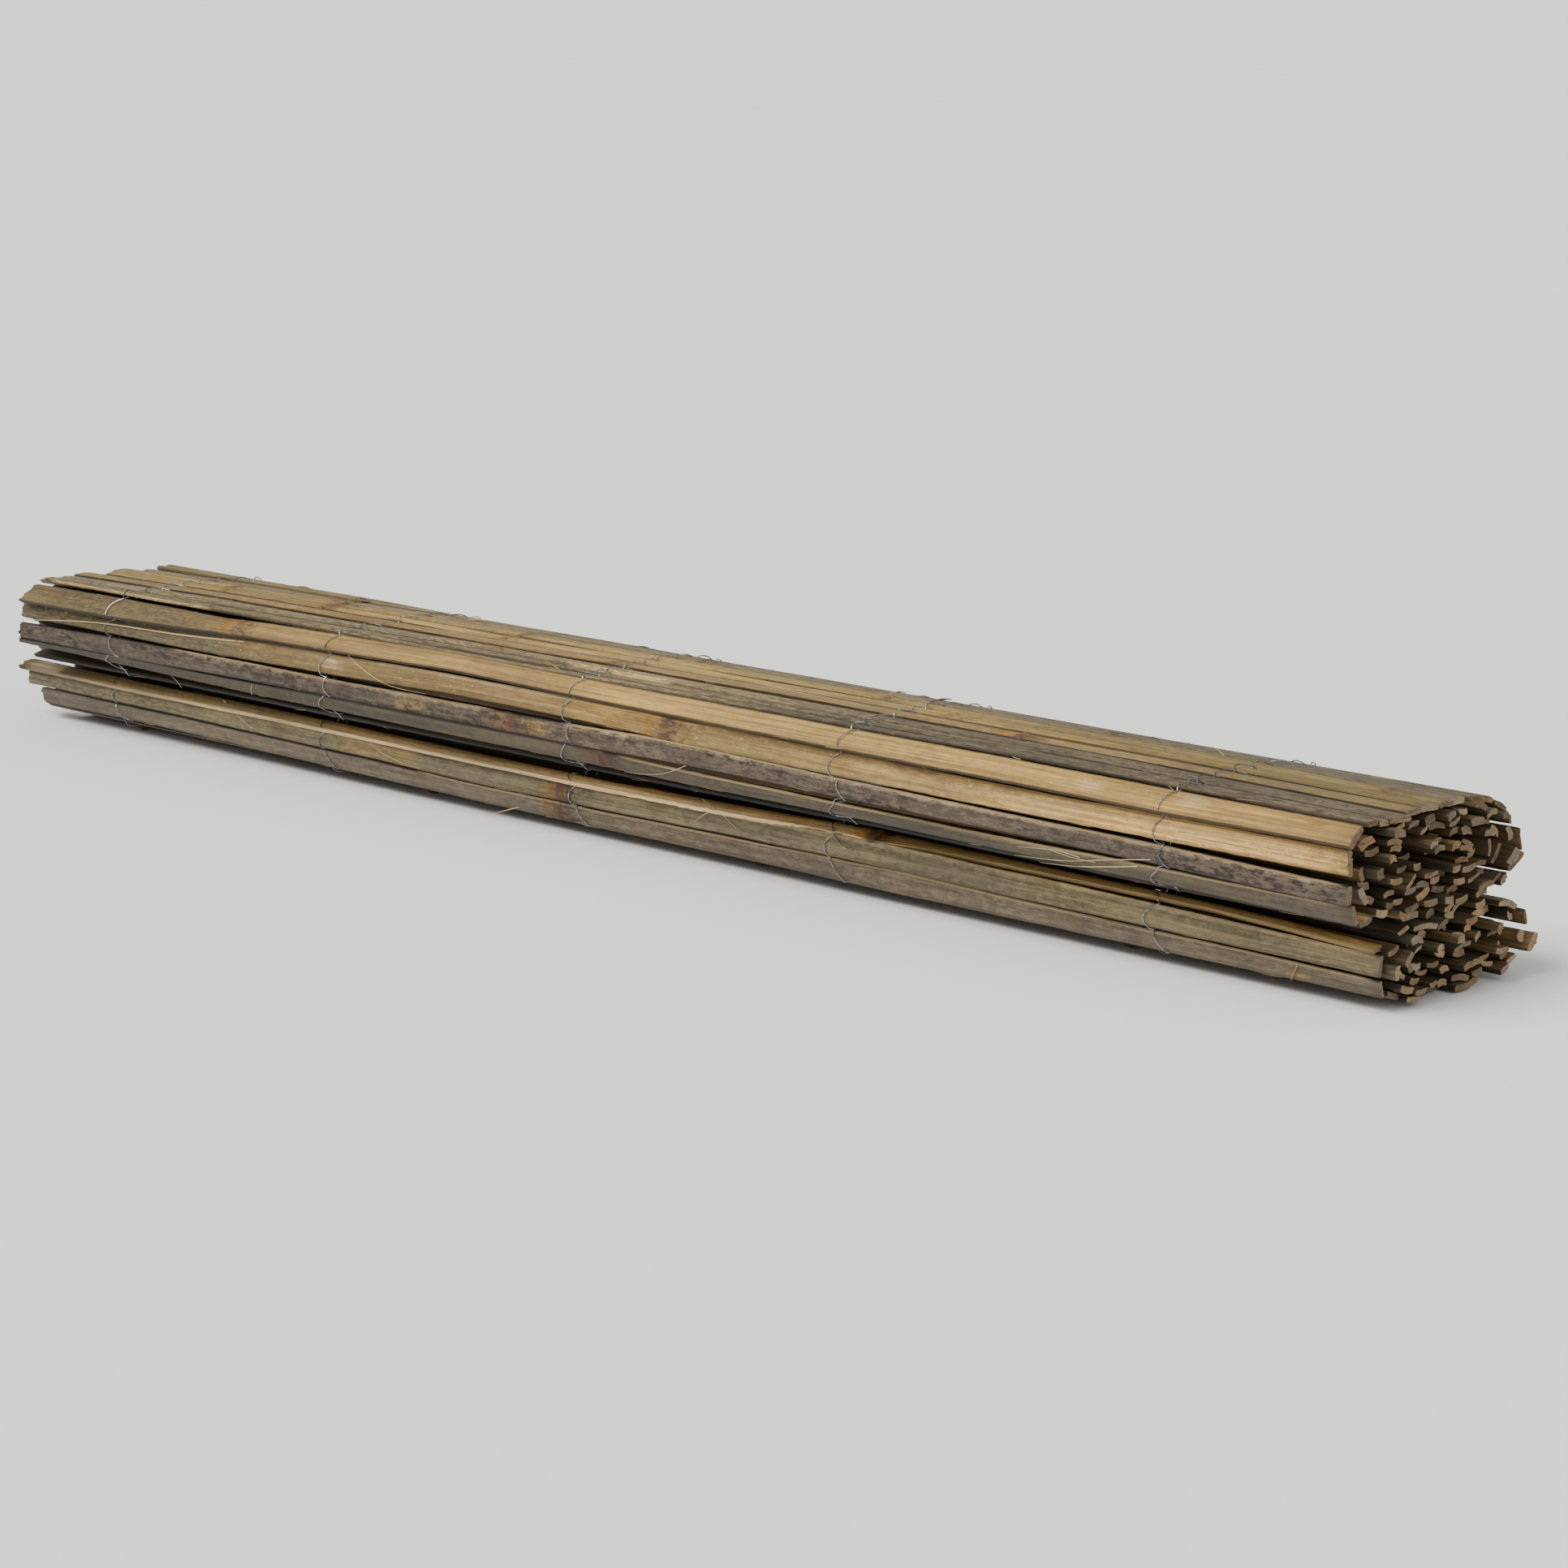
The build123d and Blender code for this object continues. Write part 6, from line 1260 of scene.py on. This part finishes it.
def strand(row, letter):
    """Centreline and radius of one strand: over one slat, under the next, crossing its partner in each gap."""
    rng = np.random.default_rng(900 + row)
    swing = rng.normal(0, .8, (COUNT, 3))
    loose = rng.uniform(.35, 1.0, COUNT)
    turn = 1 if letter == "a" else -1

    def base(k):
        """Where the row lies along the slats."""
        part = smooth((k - 66.5) / 6.0)
        return LOW_ROWS[row] + (ROWS[row] - LOW_ROWS[row]) * float(part)

    def arc(k):
        first, last, belly = ARCS.get(k, (1.6 if k % 2 else -1.6, -1.6 if k % 2 else 1.6, -.6))
        if k not in OUTER:
            return first * .3, last * .3, 0.0
        return first + swing[k, 0], last + swing[k, 1], belly + .6 * swing[k, 2]

    pts, rad, per = [], [], []
    for k in range(COUNT):
        sl = slats[k]
        x0 = base(k)
        side = turn * (1 if k % 2 == 0 else -1)
        (c,), (u,), (n,) = sl.line(x0)
        lo, hi, t = (float(q[0]) for q in sl.size(x0))
        over = k in OUTER and side == outside(k)
        r = 0.32 if over else 0.25
        skinned = side * sl.skin > 0
        rise = loose[k] * LOOSE.get(k, .8) if over else 0.0
        first, last, belly = arc(k)
        steps = (-.9, -.5, 0, .5, .9) if over else (-.8, 0, .8)
        for f in steps:
            a = (f * (lo + hi) + hi - lo) / 2
            h = t / 2 - (sl.drop() * abs(f) ** 2.4 if skinned else -.04) + r + .03 + rise * (1 - f * f)
            x = x0 + first + (last - first) * (f + 1) / 2 + belly * (1 - f * f)
            p = c + a * u + side * h * n
            pts.append((x, p[0], max(p[1], r + .02)))
            rad.append(r)
            per.append(3 if over else 1)
        if k < COUNT - 1:
            nx = slats[k + 1]
            x1 = base(k + 1)
            (c2,), (u2,), _ = nx.line(x1)
            e1 = c + u * hi
            e2 = c2 - u2 * float(nx.size(x1)[0][0])
            m = (e1 + e2) / 2
            # the strand that shows on slat k dives at its end, the other comes up where slat k + 1 begins
            x = x0 + last if over else x1 + arc(k + 1)[0]
            pts.append((x + .36 * turn * (1 if k % 2 else -1), m[0], max(m[1], .4)))
            rad.append(.31)
            per.append(3 if over or (k + 1) in OUTER else 1)
    per = [max(a, b) for a, b in zip(per[:-1], per[1:])]
    line = smooth_line(pts, per)
    width = smooth_line([(r, 0, 0) for r in rad], per)[:, 0]
    line[:, 2] = np.maximum(line[:, 2], width + .01)
    return line, width


# -------------------------------------------------------------- materials


def nodes_of(name):
    m = bpy.data.materials.new(name)
    m.use_nodes = True
    tree = m.node_tree
    return m, tree, tree.nodes, tree.links, tree.nodes["Principled BSDF"]


class Graph:
    def __init__(self, tree):
        self.tree, self.nodes, self.links = tree, tree.nodes, tree.links

    def put(self, socket, value):
        if hasattr(value, "is_output"):
            self.links.new(value, socket)
        else:
            socket.default_value = value

    def attribute(self, name):
        node = self.nodes.new("ShaderNodeAttribute")
        node.attribute_name = name
        return node

    def scaled(self, vector, scale):
        node = self.nodes.new("ShaderNodeVectorMath")
        node.operation = "MULTIPLY"
        self.links.new(vector, node.inputs[0])
        node.inputs[1].default_value = scale
        return node.outputs[0]

    def noise(self, vector, detail=2.0, rough=.5, scale=1.0):
        node = self.nodes.new("ShaderNodeTexNoise")
        self.links.new(vector, node.inputs["Vector"])
        node.inputs["Scale"].default_value = scale
        node.inputs["Detail"].default_value = detail
        node.inputs["Roughness"].default_value = rough
        return node.outputs["Fac"]

    def cells(self, vector):
        node = self.nodes.new("ShaderNodeTexVoronoi")
        self.links.new(vector, node.inputs["Vector"])
        node.inputs["Scale"].default_value = 1.0
        return node.outputs["Distance"], node.outputs["Color"]

    def remap(self, value, a, b, c, d):
        node = self.nodes.new("ShaderNodeMapRange")
        node.interpolation_type = "SMOOTHSTEP"
        self.links.new(value, node.inputs["Value"])
        for key, x in (("From Min", a), ("From Max", b), ("To Min", c), ("To Max", d)):
            node.inputs[key].default_value = x
        return node.outputs["Result"]

    def math(self, op, a, b):
        node = self.nodes.new("ShaderNodeMath")
        node.operation = op
        self.put(node.inputs[0], a)
        self.put(node.inputs[1], b)
        return node.outputs[0]

    def mix(self, fac, a, b, kind="MIX"):
        node = self.nodes.new("ShaderNodeMix")
        node.data_type = "RGBA"
        node.blend_type = kind
        node.clamp_factor = True
        self.put(node.inputs[0], fac)
        self.put(node.inputs[6], a)
        self.put(node.inputs[7], b)
        return node.outputs[2]

    def grey(self, value):
        node = self.nodes.new("ShaderNodeCombineColor")
        for i in range(3):
            self.links.new(value, node.inputs[i])
        return node.outputs[0]

    def split(self, colour):
        node = self.nodes.new("ShaderNodeSeparateColor")
        self.links.new(colour, node.inputs[0])
        return node.outputs

    def bump(self, height, strength, distance, normal=None):
        node = self.nodes.new("ShaderNodeBump")
        node.inputs["Strength"].default_value = strength
        node.inputs["Distance"].default_value = distance
        self.links.new(height, node.inputs["Height"])
        if normal is not None:
            self.links.new(normal, node.inputs["Normal"])
        return node.outputs["Normal"]


def rgba(r, g, b):
    return (r, g, b, 1.0)


def bamboo_side():
    m, tree, nodes, links, bsdf = nodes_of("split_bamboo")
    g = Graph(tree)
    pos = g.attribute("pos").outputs["Vector"]
    tone = g.attribute("tone").outputs["Color"]
    coat_node = g.attribute("coat")
    mottle, fleck, brown = g.split(coat_node.outputs["Color"])[:3]
    dirt_and_painted_shade = coat_node.outputs["Alpha"]
    fibre = g.noise(g.scaled(pos, (26, 2300, 1)), 3, .6)
    streak = g.noise(g.scaled(pos, (5.5, 520, 1)), 3, .55)
    line = g.noise(g.scaled(pos, (2.6, 1250, 1)), 2, .5)
    cloud = g.noise(g.scaled(pos, (11, 95, 1)), 3, .55)
    stain = g.noise(g.scaled(pos, (34, 70, 1)), 4, .6)
    age = g.noise(g.scaled(pos, (5.0, 30, 1)), 3, .55)
    blot = g.noise(g.scaled(pos, (175, 460, 1)), 5, .66)
    patch = g.noise(g.scaled(pos, (24, 120, 1)), 2, .5)
    speck = g.noise(g.scaled(pos, (620, 1250, 1)), 2, .5)
    chip = g.noise(g.scaled(pos, (260, 560, 1)), 3, .55)
    chips = g.noise(g.scaled(pos, (14, 40, 1)), 1, .5)
    col = g.mix(g.remap(streak, .38, .66, 0, .80), tone, g.mix(1.0, tone, rgba(.50, .44, .36), "MULTIPLY"))
    col = g.mix(g.remap(cloud, .45, .70, 0, .60), col, g.mix(1.0, tone, rgba(.60, .64, .62), "MULTIPLY"))
    col = g.mix(g.remap(cloud, .50, .30, 0, .55), col, g.mix(1.0, tone, rgba(1.34, 1.27, 1.10), "MULTIPLY"))
    col = g.mix(g.remap(age, .50, .68, 0, .50), col, g.mix(.5, g.mix(1.0, tone, rgba(.62, .66, .74), "MULTIPLY"), rgba(.115, .098, .070)))
    col = g.mix(g.remap(stain, .56, .70, 0, .55), col, g.mix(1.0, tone, rgba(.55, .42, .32), "MULTIPLY"))
    col = g.mix(1.0, col, g.grey(g.remap(fibre, .28, .72, .66, 1.26)), "MULTIPLY")
    col = g.mix(g.remap(line, .60, .70, 0, .55), col, g.mix(1.0, tone, rgba(.34, .28, .24), "MULTIPLY"))
    dark = g.math("MULTIPLY", g.remap(blot, .47, .60, 0, 1), g.math("MULTIPLY", mottle, g.remap(patch, .36, .60, .35, 1.15)))
    glow = g.math("MULTIPLY", g.remap(blot, .50, .38, 0, .75), g.math("MULTIPLY", mottle, g.remap(stain, .42, .62, 1.0, .2)))
    col = g.mix(glow, col, g.mix(1.0, tone, rgba(1.55, 1.50, 1.36), "MULTIPLY"))
    col = g.mix(dark, col, g.mix(1.0, tone, rgba(.24, .19, .18), "MULTIPLY"))
    dots = g.math("MULTIPLY", g.remap(speck, .60, .70, 0, 1), g.math("ADD", g.math("MULTIPLY", mottle, .75), .16))
    col = g.mix(dots, col, rgba(.024, .018, .013))
    few = g.math("MULTIPLY", g.remap(chip, .655, .70, 0, 1), g.remap(chips, .50, .60, 0, 1))
    col = g.mix(g.math("MULTIPLY", few, fleck), col, rgba(.66, .50, .26))
    band = g.math("MULTIPLY", brown, g.remap(blot, .30, .62, .50, 1.0))
    col = g.mix(g.math("MULTIPLY", band, .88), col, rgba(.085, .040, .018))
    # painted shade from the coat alpha, mixed towards near black
    col = g.mix(g.math("MULTIPLY", dirt_and_painted_shade, g.remap(streak, .30, .70, .5, 1)), col, rgba(.034, .025, .017))
    links.new(col, bsdf.inputs["Base Color"])
    links.new(g.remap(fibre, .3, .7, .50, .70), bsdf.inputs["Roughness"])
    bsdf.inputs["Specular IOR Level"].default_value = 0.34
    high = g.math("ADD", g.math("MULTIPLY", fibre, .6), g.math("MULTIPLY", streak, .7))
    normal = g.bump(high, .42, .00042)
    normal = g.bump(g.math("MULTIPLY", blot, g.math("ADD", mottle, .15)), .30, .0003, normal)
    links.new(normal, bsdf.inputs["Normal"])
    return m


def bamboo_end():
    m, tree, nodes, links, bsdf = nodes_of("bamboo_end_grain")
    g = Graph(tree)
    pos = g.attribute("pos").outputs["Vector"]
    tone = g.attribute("tone").outputs["Color"]
    coat_node = g.attribute("coat")
    depth = g.split(coat_node.outputs["Color"])[0]
    dirt_and_painted_shade = coat_node.outputs["Alpha"]
    spots, _ = g.cells(g.scaled(pos, (1700, 2100, 1)))
    grain = g.noise(g.scaled(pos, (1500, 1500, 1)), 4, .65)
    broad = g.noise(g.scaled(pos, (240, 320, 1)), 2, .5)
    col = g.mix(g.remap(grain, .34, .70, 0, .75), tone, g.mix(1.0, tone, rgba(.50, .45, .40), "MULTIPLY"))
    dots = g.math("MULTIPLY", g.remap(spots, .40, .18, 0, 1), g.remap(depth, .15, .95, .35, .85))
    col = g.mix(g.math("MULTIPLY", dots, .55), col, g.mix(1.0, tone, rgba(.36, .29, .24), "MULTIPLY"))
    col = g.mix(g.remap(broad, .42, .68, 0, .5), col, g.mix(1.0, tone, rgba(1.25, 1.22, 1.20), "MULTIPLY"))
    col = g.mix(dirt_and_painted_shade, col, rgba(.055, .042, .032))
    links.new(col, bsdf.inputs["Base Color"])
    bsdf.inputs["Roughness"].default_value = 0.86
    bsdf.inputs["Specular IOR Level"].default_value = 0.2
    links.new(g.bump(g.math("ADD", grain, spots), .6, .0005), bsdf.inputs["Normal"])
    return m


def zinc():
    m, tree, nodes, links, bsdf = nodes_of("galvanized_wire")
    g = Graph(tree)
    pos = g.attribute("pos").outputs["Vector"]
    spang = g.noise(g.scaled(pos, (420, 900, 1)), 3, .6)
    dull = g.noise(g.scaled(pos, (60, 200, 1)), 2, .5)
    col = g.mix(g.remap(spang, .36, .66, 0, 1), rgba(.42, .42, .41), rgba(.13, .13, .125))
    col = g.mix(g.remap(dull, .52, .70, 0, .7), col, rgba(.10, .095, .085))
    links.new(col, bsdf.inputs["Base Color"])
    bsdf.inputs["Metallic"].default_value = 0.9
    links.new(g.remap(spang, .3, .7, .22, .40), bsdf.inputs["Roughness"])
    links.new(g.bump(spang, .25, .00012), bsdf.inputs["Normal"])
    return m


side_material, end_material, wire_material = bamboo_side(), bamboo_end(), zinc()

# ----------------------------------------------------------------- pieces
GROUPS = {
    "lower_roll_core_slats": range(0, 10),
    "lower_roll_turn_3_slats": range(10, 25),
    "lower_roll_turn_2_slats": range(25, 43),
    "lower_roll_turn_1_top_slats": range(43, 50),
    "middle_layer_slats": range(67, 73),
    "upper_roll_turn_1_bottom_slats": range(92, 100),
    "upper_roll_turn_2_top_slats": range(100, 114),
    "upper_roll_turn_2_bottom_slats": range(114, 123),
    "upper_roll_turn_3_top_slats": range(123, 134),
    "upper_roll_turn_3_bottom_slats": range(134, 142),
    "upper_roll_turn_4_top_slats": range(142, 152),
    "upper_roll_turn_4_bottom_slats": range(152, 159),
    "upper_roll_core_slats": range(159, 170),
}
for k in LOWER_OUT:
    GROUPS["lower_roll_outer_slat_%02d" % (k - 49)] = [k]
for k in UPPER_OUT:
    GROUPS["upper_roll_outer_slat_%02d" % (k - 72)] = [k]

hairs = {}
for item in HAIRS:
    hairs.setdefault(item[0], []).append(item)


def hair(piece, item, rng):
    """A splinter that hangs on a slat: along points over its outward face."""
    k, points, radius, tone = item
    sl = slats[k]
    path = smooth_line([sl.spot(*p) for p in points], 5)
    path[:, 2] = np.maximum(path[:, 2], .3)
    t = np.linspace(0, 1, len(path))
    r = radius * (1 - .75 * t ** 1.5)
    tube(piece, path, r, 0, np.array(TONE[tone]) * rng.uniform(.9, 1.1), np.array([.05, 0, 0, 0]), sides=5, seed=float(rng.uniform(0, 90)), flat=.7)


for name in sorted(GROUPS):
    piece = Piece()
    for k in GROUPS[name]:
        slats[k].build(piece)
        rng = np.random.default_rng(7100 + k)
        for item in hairs.get(k, []):
            hair(piece, item, rng)
        if k in OUTER:
            for _ in range(7):
                # loose fibres along the split edges
                x = rng.uniform(-480, 470)
                long = rng.uniform(6, 26) * rng.choice([-1, 1])
                f = rng.choice([-1, 1]) * rng.uniform(.92, 1.02)
                lift = rng.uniform(.2, 1.0)
                if abs(x + long) > 495:
                    continue
                item = (k, [(x, f, -.35), (x + long * .5, f * 1.01, lift * .35), (x + long, f * rng.uniform(.8, 1.08), lift)], rng.uniform(.07, .13), "straw")
                hair(piece, item, rng)
    obj = finish_piece(piece, name + "_bamboo", [side_material, end_material])
    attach(obj, "root")
    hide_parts(name)

for row in range(5):
    for letter in "ab":
        piece = Piece()
        line, width = strand(row, letter)
        tube(piece, line, width, 0, np.array([.5, .5, .5]), np.zeros(4), sides=6, seed=row * 3.1 + (0 if letter == "a" else 1.7))
        for points, radius in TAILS.get((row, letter), []):
            k = points[0]
            path = smooth_line([slats[k].spot(*p) for p in points[1]], 5)
            tube(piece, path, radius, 0, np.array([.5, .5, .5]), np.zeros(4), sides=6, seed=44.0)
        obj = finish_piece(piece, "wire_row_%d_strand_%s_round" % (row + 1, letter), [wire_material])
        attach(obj, "root")
        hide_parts("wire_row_%d_strand_%s" % (row + 1, letter))

# ------------------------------------------------------------------ stage
floor_mesh = bpy.data.meshes.new("studio_floor")
ring = [(60 * math.cos(a), 60 * math.sin(a), 0.0) for a in np.linspace(0, 2 * math.pi, 64, endpoint=False)]
floor_mesh.from_pydata(ring, [], [list(range(64))])
floor = bpy.data.objects.new("studio_floor", floor_mesh)
bpy.context.scene.collection.objects.link(floor)
pale, tree, nodes, links, bsdf = nodes_of("pale_floor")
g = Graph(tree)
geo = nodes.new("ShaderNodeNewGeometry").outputs["Position"]
links.new(g.mix(g.remap(g.noise(g.scaled(geo, (3, 3, 3)), 3, .5), .3, .7, 0, 1), rgba(.90, .90, .90), rgba(.92, .92, .92)), bsdf.inputs["Base Color"])
bsdf.inputs["Roughness"].default_value = 0.9
bsdf.inputs["Specular IOR Level"].default_value = 0.1
floor_mesh.materials.append(pale)

world = bpy.data.worlds.new("studio")
bpy.context.scene.world = world
world.use_nodes = True
world.node_tree.nodes["Background"].inputs["Color"].default_value = (1.0, 1.0, 1.0, 1.0)
world.node_tree.nodes["Background"].inputs["Strength"].default_value = WORLD_STRENGTH


def sun(name, strength, angle, direction, colour=(1, 1, 1)):
    data = bpy.data.lights.new(name, "SUN")
    data.energy = strength
    data.angle = math.radians(angle)
    data.color = colour
    obj = bpy.data.objects.new(name, data)
    from mathutils import Vector
    obj.rotation_euler = Vector(direction).to_track_quat("-Z", "Y").to_euler()
    bpy.context.scene.collection.objects.link(obj)


for item in SUNS:
    sun(*item)

camera = bpy.data.cameras.new("camera")
camera.lens = 93.17
camera.sensor_width = 36.0
camera.clip_end = 200.0
eye = bpy.data.objects.new("camera", camera)
bpy.context.scene.collection.objects.link(eye)
right, up, ahead = (0.70767, 0.70654, 0.0), (-0.14110, 0.14132, 0.97986), (-0.69231, 0.69342, -0.19970)
eye.matrix_world = Matrix((
    (right[0], up[0], -ahead[0], 1.53906),
    (right[1], up[1], -ahead[1], -1.45396),
    (right[2], up[2], -ahead[2], 0.45742),
    (0, 0, 0, 1),
))
bpy.context.scene.camera = eye

bpy.context.view_layer.update()
